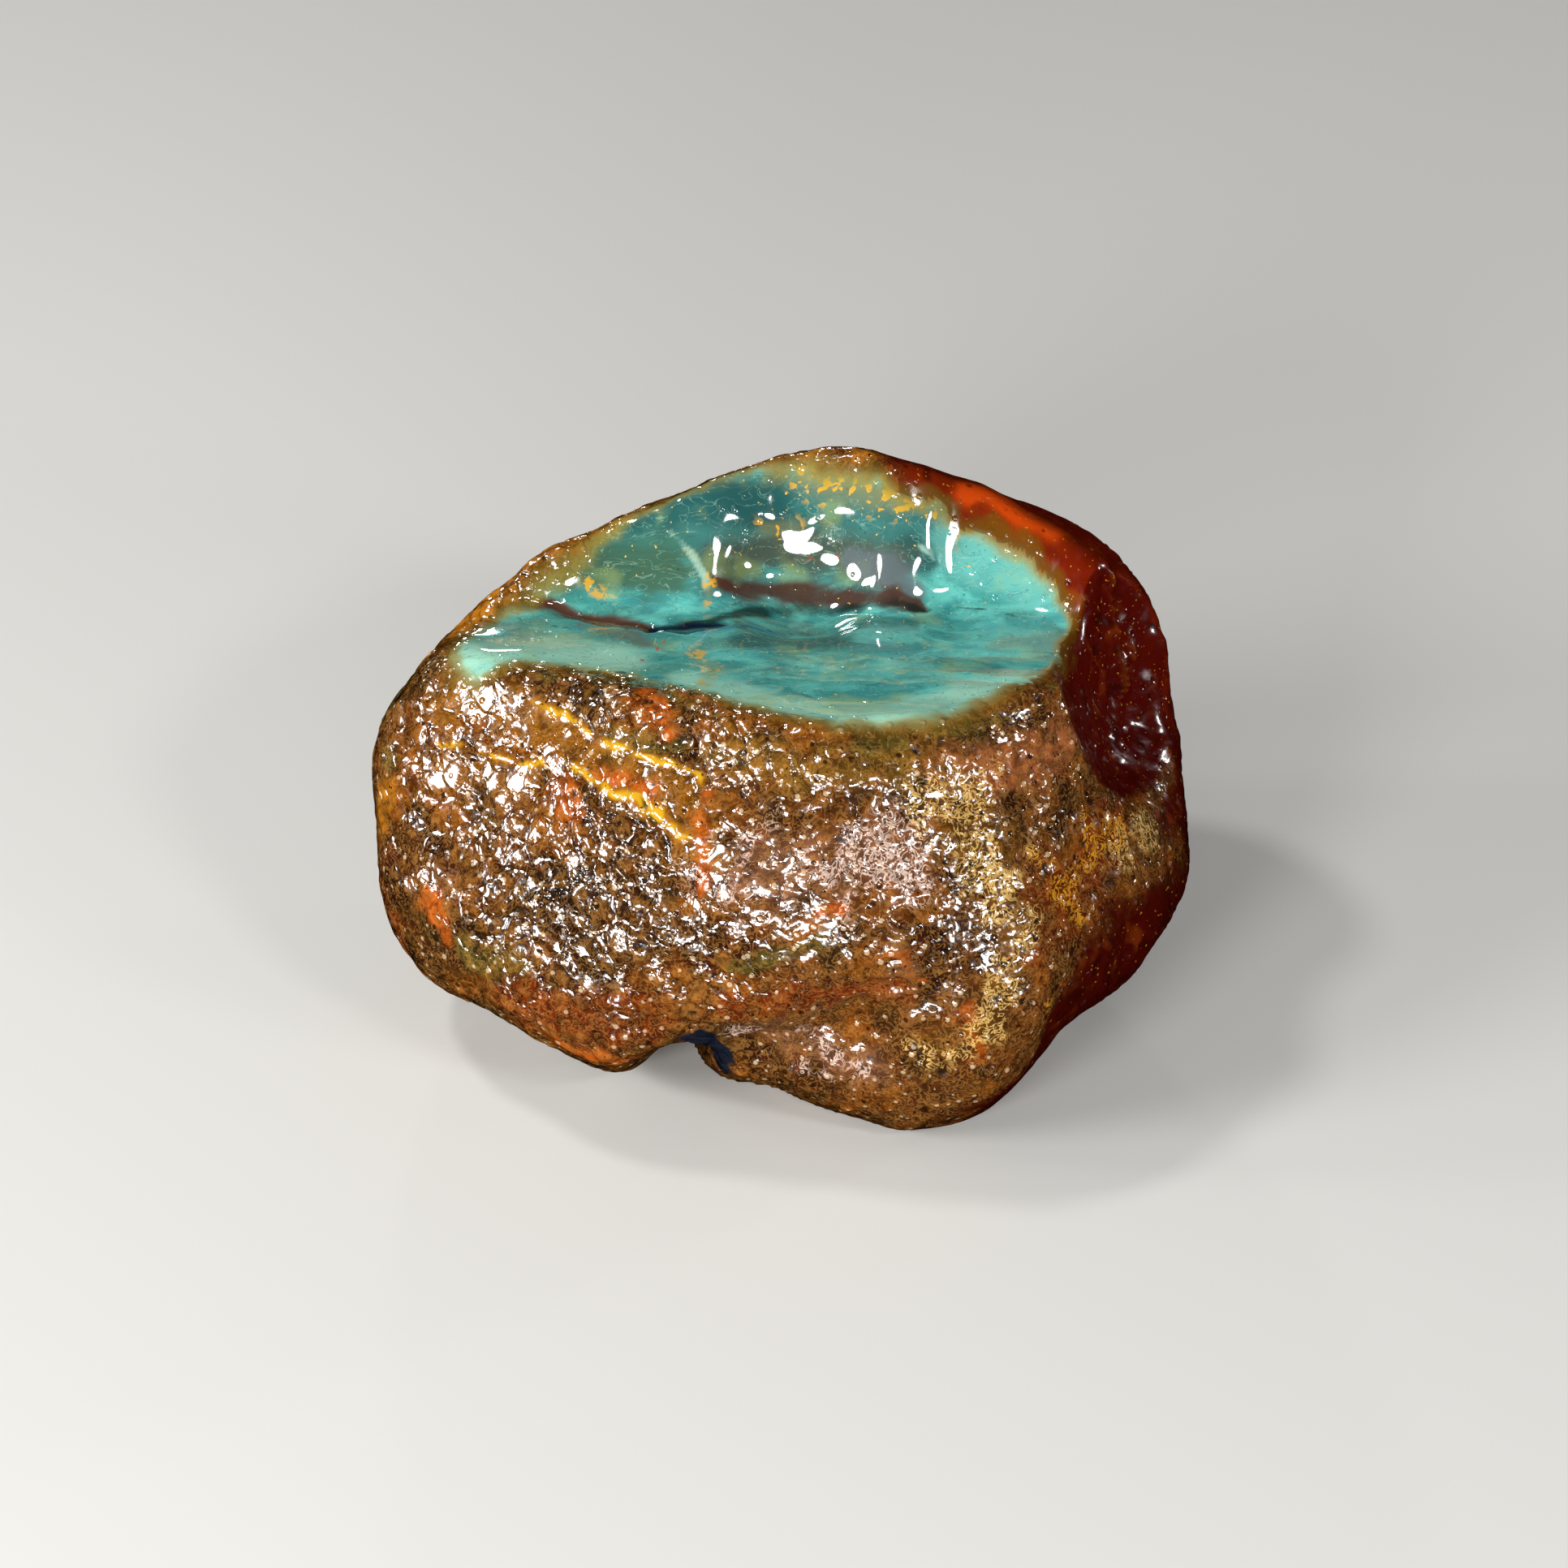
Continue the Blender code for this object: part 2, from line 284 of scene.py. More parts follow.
# where the marks lie on the stone, as lines of points in millimetres, with how far each one reaches
rindMarks = {
    # yellow veins standing up across the left shoulder
    "vein": [
        (((-19.8, -6.3, 31.3), (-16.6, -8.3, 30.8), (-12.8, -11.9, 30.5), (-9.6, -14.0, 30.5),
          (-6.5, -15.9, 30.3)), 0.36),
        (((-17.2, -10.5, 28.8), (-14.0, -13.7, 28.4), (-10.2, -16.8, 28.0), (-7.1, -19.1, 27.3)), 0.42),
        (((-27.0, -6.0, 26.9), (-23.0, -8.0, 27.1), (-19.8, -10.0, 27.3), (-17.2, -10.5, 28.8)), 0.24),
    ],
    # golden ground that the veins stand in
    "ochre": [
        (((-21.0, -6.6, 30.4), (-14.6, -11.6, 29.8), (-8.6, -16.6, 28.8), (-6.2, -19.6, 26.6)), 2.6),
        (((-27.4, -8.0, 25.6), (-20.4, -11.0, 26.6)), 1.8),
        (((-27.0, -3.6, 29.0), (-20.0, -6.4, 30.8)), 1.6),
    ],
    # yellowish brown under the lip
    "tawny": [(((-4.4, -14.6, 32.4), (2.1, -16.8, 32.2), (7.0, -16.4, 31.8), (11.3, -15.2, 31.8)), 2.2)],
    # umber between the coarse pebbles of the left face
    "umber": [
        (((-22.0, -16.6, 18.6), (-16.4, -17.6, 21.6), (-10.4, -19.0, 24.0)), 3.6),
        (((-16.0, -20.0, 16.6), (-9.6, -21.4, 19.4)), 2.6),
    ],
    # burnt orange stains
    "orange": [
        (((-17.4, -11.8, 27.4), (-16.2, -14.0, 26.0)), 1.5),
        (((-6.5, -16.9, 29.5), (-6.2, -19.6, 27.0), (-5.9, -21.5, 23.7)), 0.8),
        (((2.4, -23.3, 23.2), (4.5, -23.0, 24.0)), 0.7),
        (((-10.9, -9.2, 33.2), (-9.0, -12.2, 32.2)), 1.3),
        (((-14.0, -13.4, 29.2), (-10.5, -16.0, 28.9)), 1.3),
        (((-27.5, -13.0, 17.0), (-26.0, -15.0, 15.0)), 1.5),
        (((-20.0, -21.0, 9.0), (-12.0, -22.6, 8.0)), 1.6),
        (((8.8, -24.5, 19.9), (10.4, -24.7, 18.0)), 0.7),
        (((13.4, -24.8, 15.0), (14.6, -24.9, 11.0)), 1.2),
    ],
    # rusty brown low on the left lobe, under the right lip and along the toe
    "rust": [
        (((-20.0, -20.6, 12.6), (-16.0, -22.2, 12.4), (-11.5, -22.9, 13.4)), 3.4),
        (((-4.0, -23.0, 15.0), (3.0, -24.6, 16.0), (9.0, -24.8, 17.0)), 1.8),
        (((-30.5, -5.0, 17.0), (-29.5, -9.0, 12.0)), 2.6),
        (((24.0, -4.0, 24.0), (28.6, 2.0, 21.0), (30.4, 6.0, 19.0)), 2.4),
        (((18.6, -19.0, 18.0), (22.4, -15.0, 20.0), (26.6, -8.6, 21.0)), 3.0),
    ],
    # reddish tan under the right end of the lip
    "blush": [(((12.6, -15.8, 30.6), (17.4, -12.4, 29.6), (20.4, -9.6, 29.0)), 2.8)],
    # olive, where the blue-green shows through a thin rind
    "olive": [
        (((-12.8, -11.6, 30.2), (-8.4, -13.0, 31.7)), 1.5),
        (((-25.8, -1.4, 30.4), (-20.0, -4.8, 31.8), (-12.9, -7.0, 32.5), (-5.0, -11.6, 33.2)), 1.0),
        (((6.0, -15.0, 32.9), (13.0, -13.2, 32.7), (20.0, -6.4, 32.3)), 1.1),
        (((-24.3, -17.1, 14.3), (-20.3, -19.7, 15.5)), 1.9),
        (((-4.1, -23.7, 18.2), (-0.4, -24.2, 20.1), (2.7, -24.2, 21.2)), 0.8),
        (((-30.4, 2.0, 27.4), (-30.6, -4.0, 24.0)), 1.6),
    ],
    # paler, finely frosted rind across the middle of the front, made paler still as painted sheen for its
    # dense glints
    "rose": [
        (((-4.0, -21.0, 25.6), (2.0, -21.6, 26.0), (8.0, -20.4, 26.4)), 3.6),
        (((-2.0, -24.0, 12.0), (6.0, -25.0, 9.0)), 2.4),
    ],
    # honey-coloured rind over the top and round the left end, lightened as a painted glow of light shining
    # through it
    "honey": [
        (((-27.0, 0.0, 28.5), (-23.6, 7.0, 31.4), (-20.0, 11.0, 33.4), (-12.0, 14.4, 36.6)), 2.4),
        (((-12.0, 14.4, 36.6), (-4.0, 16.6, 39.4), (4.0, 16.6, 40.4), (12.0, 15.4, 38.6)), 2.4),
        (((-31.6, -6.0, 22.0), (-31.0, -4.0, 12.0), (-27.0, -10.0, 5.0)), 1.8),
    ],
    # dark cracks between the coarse beads of the left face
    "groove": [
        (((-23.5, -17.3, 16.4), (-20.3, -17.7, 18.7), (-17.1, -17.8, 21.0), (-15.2, -17.6, 22.8),
          (-12.7, -17.9, 25.0)), 0.34),
        (((-15.2, -15.2, 26.0), (-14.0, -17.0, 25.1), (-12.1, -19.1, 23.5), (-10.2, -20.3, 22.9)), 0.30),
        (((-10.8, -16.2, 28.2), (-8.3, -19.4, 26.0)), 0.26),
        (((-13.3, -16.0, 26.7), (-10.4, -17.2, 27.5)), 0.24),
    ],
    # curled ridges over the right toe
    "curl": [
        (((3.9, -24.6, 18.6), (5.1, -24.8, 19.4), (5.7, -24.2, 22.0), (7.6, -23.5, 23.0), (9.4, -23.7, 21.6),
          (8.8, -24.5, 19.9)), 0.42),
        (((6.2, -24.9, 18.0), (7.8, -24.9, 18.6), (10.6, -24.8, 19.4)), 0.55),
        (((2.8, -24.7, 14.6), (7.0, -25.0, 15.8), (11.0, -24.8, 17.4)), 0.38),
        (((0.6, -24.4, 12.2), (6.0, -25.0, 13.4), (11.5, -25.0, 15.0)), 0.34),
    ],
    # golden crust over the right cheek
    "gold": [
        (((12.4, -16.6, 28.6), (15.0, -17.8, 25.8), (17.2, -19.4, 22.0)), 4.0),
        (((17.6, -20.8, 19.6), (16.6, -23.4, 16.2)), 2.4),
        (((15.6, -24.6, 13.6), (11.0, -25.2, 12.0)), 2.0),
        (((26.4, -9.8, 19.6), (28.4, -6.4, 18.4)), 2.0),
    ],
    # glowing orange-gold between the two crusts
    "glow": [
        (((19.0, -18.0, 22.4), (20.8, -16.8, 21.4), (21.4, -17.4, 18.6)), 2.4),
        (((23.4, -12.6, 22.0), (25.6, -9.0, 21.0)), 2.0),
        (((18.6, -21.4, 17.0), (19.4, -22.2, 13.0)), 1.4),
    ],
    # a blue-black chip beside the notch
    "ink": [(((-6.4, -22.4, 10.8), (-5.4, -21.4, 8.8), (-4.4, -20.6, 7.0)), 1.25)],
}

# the right cheek keeps its rind where the clear resin lies above and below it
cheekRind = [
    (((21.6, -13.4, 25.0), (24.6, -8.6, 23.6), (27.4, -4.0, 20.8), (29.4, 1.4, 20.0)), 2.9),
    (((20.4, -17.2, 21.4), (25.0, -11.6, 20.0), (28.2, -7.0, 17.4)), 3.2),
    (((18.8, -21.0, 16.4), (16.6, -23.8, 10.0)), 3.0),
]

# marks in the clear red resin of the right side
clearMarks = {
    # painted glow: the ridge is lit bright orange as if light shone through it
    "ember": [
        (((15.2, 14.0, 38.0), (18.2, 13.0, 36.7), (20.8, 11.4, 35.8)), 1.9),
    ],
    "shade": [(((15.6, 12.4, 37.2), (19.0, 11.0, 35.9), (23.0, 8.6, 34.2)), 0.75)],
    "honeyEnd": [(((22.2, 6.6, 33.0), (23.6, 4.8, 32.6), (23.0, 3.2, 32.0)), 1.0)],
    "fold": [
        (((24.2, 8.4, 33.4), (26.0, 7.6, 30.6), (27.0, 6.6, 27.4), (27.6, 5.0, 24.6)), 0.5),
        (((25.6, 9.0, 33.0), (27.6, 8.2, 29.4), (28.6, 6.8, 25.6)), 0.45),
        (((26.2, 6.6, 27.6), (27.0, 4.6, 24.4), (27.0, 2.6, 23.6)), 0.4),
    ],
}

windowMarks = {
    # broad tones of the cloudy resin; the wall's darker tone is partly its own and partly painted shade
    "wall": [
        (((-12.0, 11.0, 35.0), (-4.0, 12.0, 36.6), (4.0, 12.4, 36.8), (10.0, 11.0, 36.0)), 3.4),
        (((-6.0, 9.6, 33.4), (6.0, 10.0, 33.8)), 2.4),
    ],
    "wallLeft": [(((-20.0, 8.4, 33.0), (-15.4, 9.8, 34.2), (-10.0, 9.8, 34.4)), 2.8)],
    "foam": [
        (((-24.5, -1.0, 31.2), (-19.0, -0.4, 31.6), (-13.5, -3.0, 32.2)), 3.4),
        (((-7.0, -6.6, 33.0), (0.0, -11.4, 33.7), (6.0, -12.2, 33.6), (12.0, -10.4, 33.1),
          (18.0, -6.0, 32.5)), 2.3),
    ],
    "pale": [
        (((13.6, 10.4, 34.6), (17.6, 9.4, 34.0), (20.4, 7.4, 32.6)), 2.8),
        (((15.0, 2.4, 31.8), (20.6, 1.6, 31.8)), 2.2),
    ],
    # painted shade: darker, deeper teal in the scoops of the wall and in the middle of the shelf
    "deep": [
        (((-12.0, 12.2, 36.4), (-5.0, 12.8, 37.6), (-1.0, 12.6, 37.2)), 2.6),
        (((-3.0, 1.4, 31.4), (3.0, 0.6, 31.6)), 2.4),
        (((9.6, 10.4, 35.4), (11.2, 9.0, 33.6)), 1.2),
    ],
    "moss": [
        (((-17.4, 9.2, 33.6), (-13.6, 9.0, 33.2), (-9.6, 8.6, 33.4)), 2.2),
        (((-20.6, 7.2, 32.6), (-17.6, 9.8, 34.2), (-12.6, 12.0, 35.8)), 0.9),
    ],
    # painted shade in the hollow low in the middle scoop
    "hollowShade": [(((-5.2, 9.4, 33.6), (-1.0, 10.6, 34.0), (4.4, 10.6, 34.2), (8.4, 9.4, 33.8)), 1.9)],
    "sliver": [(((-6.4, 2.4, 31.3), (-2.6, 4.8, 30.6), (1.0, 5.8, 30.3)), 0.9)],
    # a brown lens inside the resin along the foot of the wall, with a smoky patch over it
    "lens": [
        (((-6.0, 8.4, 33.0), (-3.0, 8.9, 31.7), (0.9, 9.3, 30.9), (4.8, 8.5, 31.1), (8.9, 7.2, 31.3),
          (11.2, 6.7, 31.3)), (0.4, 1.15, 1.4, 1.35, 0.9, 0.45)),
    ],
    "smoke": [(((5.6, 10.2, 33.7), (8.0, 8.9, 33.6), (10.4, 7.5, 32.3)), (1.3, 1.7, 0.9))],
    # the foot of the wall, darkened as painted shade, and the long crack that runs into it from the left rim
    "crease": [
        (((-8.4, 4.0, 31.3), (-5.5, 5.2, 31.1), (-3.0, 6.9, 30.5), (-0.4, 7.9, 30.2), (2.2, 8.1, 30.2),
          (6.1, 7.2, 30.8), (10.6, 6.6, 31.2)), (0.5, 0.6, 0.7, 0.75, 0.75, 0.6, 0.35)),
        (((10.6, 6.6, 31.2), (14.5, 7.1, 31.0), (22.2, 4.8, 31.2)), (0.3, 0.2, 0.15)),
    ],
    "crack": [
        (((-22.6, 6.4, 31.9), (-20.8, 6.7, 32.1), (-17.2, 6.7, 31.4), (-14.0, 5.6, 31.1),
          (-10.7, 4.0, 31.3)), (0.3, 0.6, 0.75, 1.2, 0.9)),
    ],
    "rustyCloud": [(((-15.6, 4.6, 31.3), (-12.4, 2.6, 31.5), (-11.0, 0.4, 31.8)), (1.2, 1.6, 1.1))],
    "pocket": [(((-10.4, 4.3, 31.3), (-7.6, 3.6, 31.4), (-4.8, 4.6, 31.2)), (0.5, 1.05, 0.6))],
    # red threads beside the crack and in the lens
    "redThread": [
        (((-14.0, 5.4, 31.2), (-11.6, 4.4, 31.3), (-9.4, 3.0, 31.5)), (0.3, 0.5, 0.3)),
        (((-9.3, 1.6, 31.8), (-10.4, -0.6, 32.0), (-11.7, -3.3, 32.3), (-12.3, -6.7, 33.1)),
         (0.5, 0.5, 0.3, 0.3)),
        (((-3.0, 9.2, 31.9), (1.2, 9.5, 31.7), (4.6, 8.9, 31.6)), 0.22),
        (((-0.6, 10.8, 33.2), (2.0, 11.0, 33.4), (4.6, 10.8, 33.5)), 0.3),
    ],
    # gold flecks in the clear blue-green resin
    "fleck": [
        (((-16.9, 8.4, 32.7), (-15.3, 8.4, 32.0), (-13.7, 7.8, 31.3)), 0.7),
        (((-7.1, -0.4, 31.9), (-5.4, -4.2, 32.5), (-6.0, -7.0, 33.2)), 0.9),
        (((2.2, 14.2, 38.7), (4.8, 13.1, 38.6), (6.7, 12.4, 38.6), (9.0, 11.6, 38.0)), 1.7),
        (((-7.5, 9.6, 34.6), (-6.4, 8.6, 33.0), (-6.2, 7.1, 31.6)), 0.5),
        (((-1.5, 11.5, 35.4), (0.6, 11.6, 35.2)), 1.0),
        (((11.0, 11.4, 37.4), (14.5, 10.8, 36.0)), 0.9),
    ],
    # pale seams: the lip of the small ledge on the shelf, and the crests between the scoops
    "seam": [
        (((-8.4, -1.6, 31.8), (-6.1, 0.8, 31.7), (-2.3, 3.6, 31.0), (2.2, 5.4, 30.8)), 0.22),
        (((-8.6, 10.6, 35.6), (-7.4, 9.6, 34.6), (-6.4, 7.6, 32.4)), 0.5),
        (((9.6, 10.6, 36.0), (11.6, 9.4, 34.4), (13.6, 7.6, 32.2)), 0.35),
    ],
}

# the outline of the blue-green window, seen from above
windowOutline = [
    (-25.6, -2.4), (-23.7, -4.2), (-20.6, -3.3), (-16.8, -3.5), (-12.9, -5.1), (-7.2, -8.4), (-2.8, -11.2),
    (1.5, -13.6), (6.4, -13.9), (11.3, -12.8), (16.4, -9.3), (21.0, -4.0), (22.0, -0.2), (22.5, 4.3),
    (21.9, 7.0), (20.0, 9.3), (16.7, 11.1), (13.9, 11.9), (9.3, 12.2), (6.1, 13.4), (2.2, 14.9),
    (-1.7, 14.9), (-5.6, 13.6), (-9.5, 12.9), (-13.2, 11.8), (-15.6, 10.6), (-17.5, 9.0), (-19.9, 7.2),
    (-21.7, 5.9), (-23.2, 4.5), (-24.1, 3.5), (-25.0, 2.1), (-25.7, 0.6), (-25.9, -1.0),
]
# the deep red resin, as (azimuth, elevation, half angle) of the caps where the rind has worn off
clearCaps = [
    (-22.0, -37.0, 31.0), (35.0, 5.0, 40.0), (42.0, 34.0, 33.0), (10.0, 22.0, 20.0), (62.0, 52.0, 16.0),
]

# where the zones begin and end, in millimetres, but the caps in degrees
zoneEdges = {
    "coarseWobble": (2.6, 0.9),  # size and strength of the noise that makes every edge uneven
    "fineWobble": (0.9, 0.35, (3.0, 1.0, 2.0)),  # the same, and its place in the noise
    "windowWobble": 0.7,
    "windowFade": (-0.6, 0.7),
    "windowAbove": (28.5, 29.8),
    "rimShift": 0.1,
    "rimReach": 0.9,
    "capHeart": (0.0, -1.8, 0.0),  # the caps are measured from here, seen from the stone's heart
    "capWobble": 3.0,
    "capFade": (-3.0, 4.0),
    "chipWobble": 0.1,
    "chipFade": (-0.2, 0.5),
    "chipFrom": (21.0, 21.8),
    "endWobble": 0.3,  # the right end is clear wherever it lies high and far enough back
    "endFrom": (21.3, 22.3),
    "endAbove": (19.0, 22.0),
    "endBehind": (-3.0, -1.0),
    "clearDrift": (6.0, 9.0, (5.0, 2.0, 8.0), 2.0),  # size, strength, place in it, share of the wobble
    "clearFrom": (5.0, 11.0),
    "cheekWobble": 0.12,
    "cheekFade": (0.25, 0.55),
    "clearToWindow": (0.25, 0.75),
    # the marks stray from their lines: the sizes of a slow and a quick noise, and how far each kind strays
    "straySizes": (3.1, 1.1),
    "strayPlaces": ((0.0, 0.0, 0.0), (9.3, 1.5, 7.9), (4.2, 8.8, 3.1)),  # in the noise, one for each axis
    "strayRind": (0.9, 0.4),
    "strayClear": (0.8, 0.4),
    "strayWindow": (0.5, 0.2),
}


def insideOutline(x, y, outline):
    # distance inside a closed outline, negative outside it
    corners = np.array(outline)
    points = np.column_stack([x, y])
    gap = gapToLine(points, list(corners) + [corners[0]])
    inside = np.zeros(len(x), bool)
    for (ax, ay), (bx, by) in zip(corners, np.roll(corners, -1, axis=0)):
        crosses = (ay > y) != (by > y)
        with np.errstate(divide="ignore", invalid="ignore"):
            inside ^= crosses & (x < (bx - ax) * (y - ay) / (by - ay) + ax)
    return np.where(inside, gap, -gap)


def gapToMark(points, lines):
    return np.min([gapToLine(points, corners, reach) for corners, reach in lines], axis=0)


def stainZones(places, chipCut):
    # how much of each zone and mark is at every point, from 0 to 1
    zones = {}
    x, y, z = places[:, 0], places[:, 1], places[:, 2]
    size, strength = zoneEdges["coarseWobble"]
    wobble = noiseAt(places, size) * strength
    size, strength, offset = zoneEdges["fineWobble"]
    wobble = wobble + noiseAt(places, size, offset) * strength

    edge = insideOutline(x, y, windowOutline) + wobble * zoneEdges["windowWobble"]
    above = easeBetween(z, *zoneEdges["windowAbove"])
    zones["window"] = easeBetween(edge, *zoneEdges["windowFade"]) * above
    zones["rim"] = bell(edge + zoneEdges["rimShift"], zoneEdges["rimReach"]) * above

    rays = places - (heart + np.array(zoneEdges["capHeart"]))
    rays /= np.linalg.norm(rays, axis=1)[:, None]
    clear = np.zeros(len(places))
    for azimuth, elevation, halfAngle in clearCaps:
        gap = halfAngle - np.degrees(np.arccos(np.clip(rays @ towards(azimuth, elevation), -1.0, 1.0)))
        clear = np.maximum(clear, easeBetween(gap + wobble * zoneEdges["capWobble"], *zoneEdges["capFade"]))
    inChip = easeBetween(-chipCut + wobble * zoneEdges["chipWobble"], *zoneEdges["chipFade"])
    inChip = inChip * easeBetween(x, *zoneEdges["chipFrom"])
    atEnd = easeBetween(x + wobble * zoneEdges["endWobble"], *zoneEdges["endFrom"])
    atEnd = atEnd * easeBetween(z, *zoneEdges["endAbove"]) * easeBetween(y, *zoneEdges["endBehind"])
    size, strength, offset, wobbled = zoneEdges["clearDrift"]
    drift = x + noiseAt(places, size, offset) * strength + wobble * wobbled
    clear = np.maximum(np.maximum(clear * easeBetween(drift, *zoneEdges["clearFrom"]), inChip), atEnd)
    cheek = bell(gapToMark(places, cheekRind) + wobble * zoneEdges["cheekWobble"], 1.0)
    cheek = easeBetween(cheek, *zoneEdges["cheekFade"]) * (1.0 - inChip)
    clear = clear * (1.0 - easeBetween(zones["window"], *zoneEdges["clearToWindow"]))
    zones["clear"] = clear * (1.0 - cheek)
    zones["chip"] = inChip

    # each mark is looked up a little to one side of where the point is
    slow, quick = [
        np.column_stack([noiseAt(places, size, offset) for offset in zoneEdges["strayPlaces"]])
        for size in zoneEdges["straySizes"]
    ]
    for marks, stray in ((rindMarks, "strayRind"), (clearMarks, "strayClear"), (windowMarks, "strayWindow")):
        slowReach, quickReach = zoneEdges[stray]
        strayed = places + slow * slowReach + quick * quickReach
        for name, lines in marks.items():
            zones[name] = bell(gapToMark(strayed, lines), 1.0)
    print("stains:", len(zones), "zones and marks are laid on the stone")
    return zones


# the fine relief: Geometry Nodes push every point out or in along its normal; sizes and heights are in
# millimetres, and a negative height is a hollow
reliefSizes = {
    "Pebble Size": 1.7, "Pebble Height": 0.10,
    "Grain Size": 0.8, "Grain Height": 0.11,
    "Pit Spacing": 1.9, "Pit Height": -0.30,
    "Wave Size": 4.2, "Wave Height": 0.55,
    "Tilt Size": 2.0, "Tilt Height": 0.12,
    "Scoop Size": 4.2, "Scoop Height": 0.30,
    "Wrinkle Size": 1.5, "Wrinkle Height": 0.18, "Fold Height": 0.35,
    "Cloud Size": 4.6, "Dapple Size": 1.9,
    "Groove Height": -0.36, "Vein Height": 0.14, "Curl Height": 0.40, "Crack Height": -0.55,
    "Pocket Height": -0.45, "Seam Height": 0.03,
}
storedZones = ("window", "clear", "ochre", "groove", "vein", "curl", "crack", "pocket", "seam", "fold")
# how the patterns are drawn: from and to in a pattern's own value, or in millimetres along the stone
patterns = {
    "squeezeSize": 5.0 / 3.0,  # noise that squeezes the pebbles out of round, in millimetres
    "squeeze": (1.6, 1.6, 1.6),
    "pebble": (0.0, 0.26),
    "grainLean": 0.75,  # radians
    "grainDraw": (0.38, 1.0, 1.0),
    "grainBend": 0.5,
    "grain": (0.40, 0.62),
    "driftSize": 6.25,  # noise that mixes pebbled and grained patches
    "driftReach": 30.0,
    "pebbledAcross": (22.0, 6.0, 0.2, 1.0),
    "grainedAcross": (1.0, 19.0, 0.35, 1.0),
    "pitChoice": (0.62, 0.66),
    "pit": (0.24, 0.10),
    "wrinkleDraw": (1.0, 1.0, 0.3),
    "wrinkleBend": 0.4,
    "wrinkle": (0.16, 0.0),
    "wrinkledAcross": (22.5, 25.5),
    "scoopedAbove": (31.6, 33.2),
    "scoopedBehind": (6.0, 8.0),
    "rindOnClear": -0.88,  # what the clear resin takes from the rind's relief
    "pebbleByOchre": (0.2, 0.9, 1.0, 0.3),
    "waveInWindow": -0.6,
    "offTable": (0.15, 1.6, 0.0, mm),  # the relief starts above the face that the stone rests on
}
soft = {"interpolation_type": "SMOOTHSTEP"}  # eases in and out between from and to


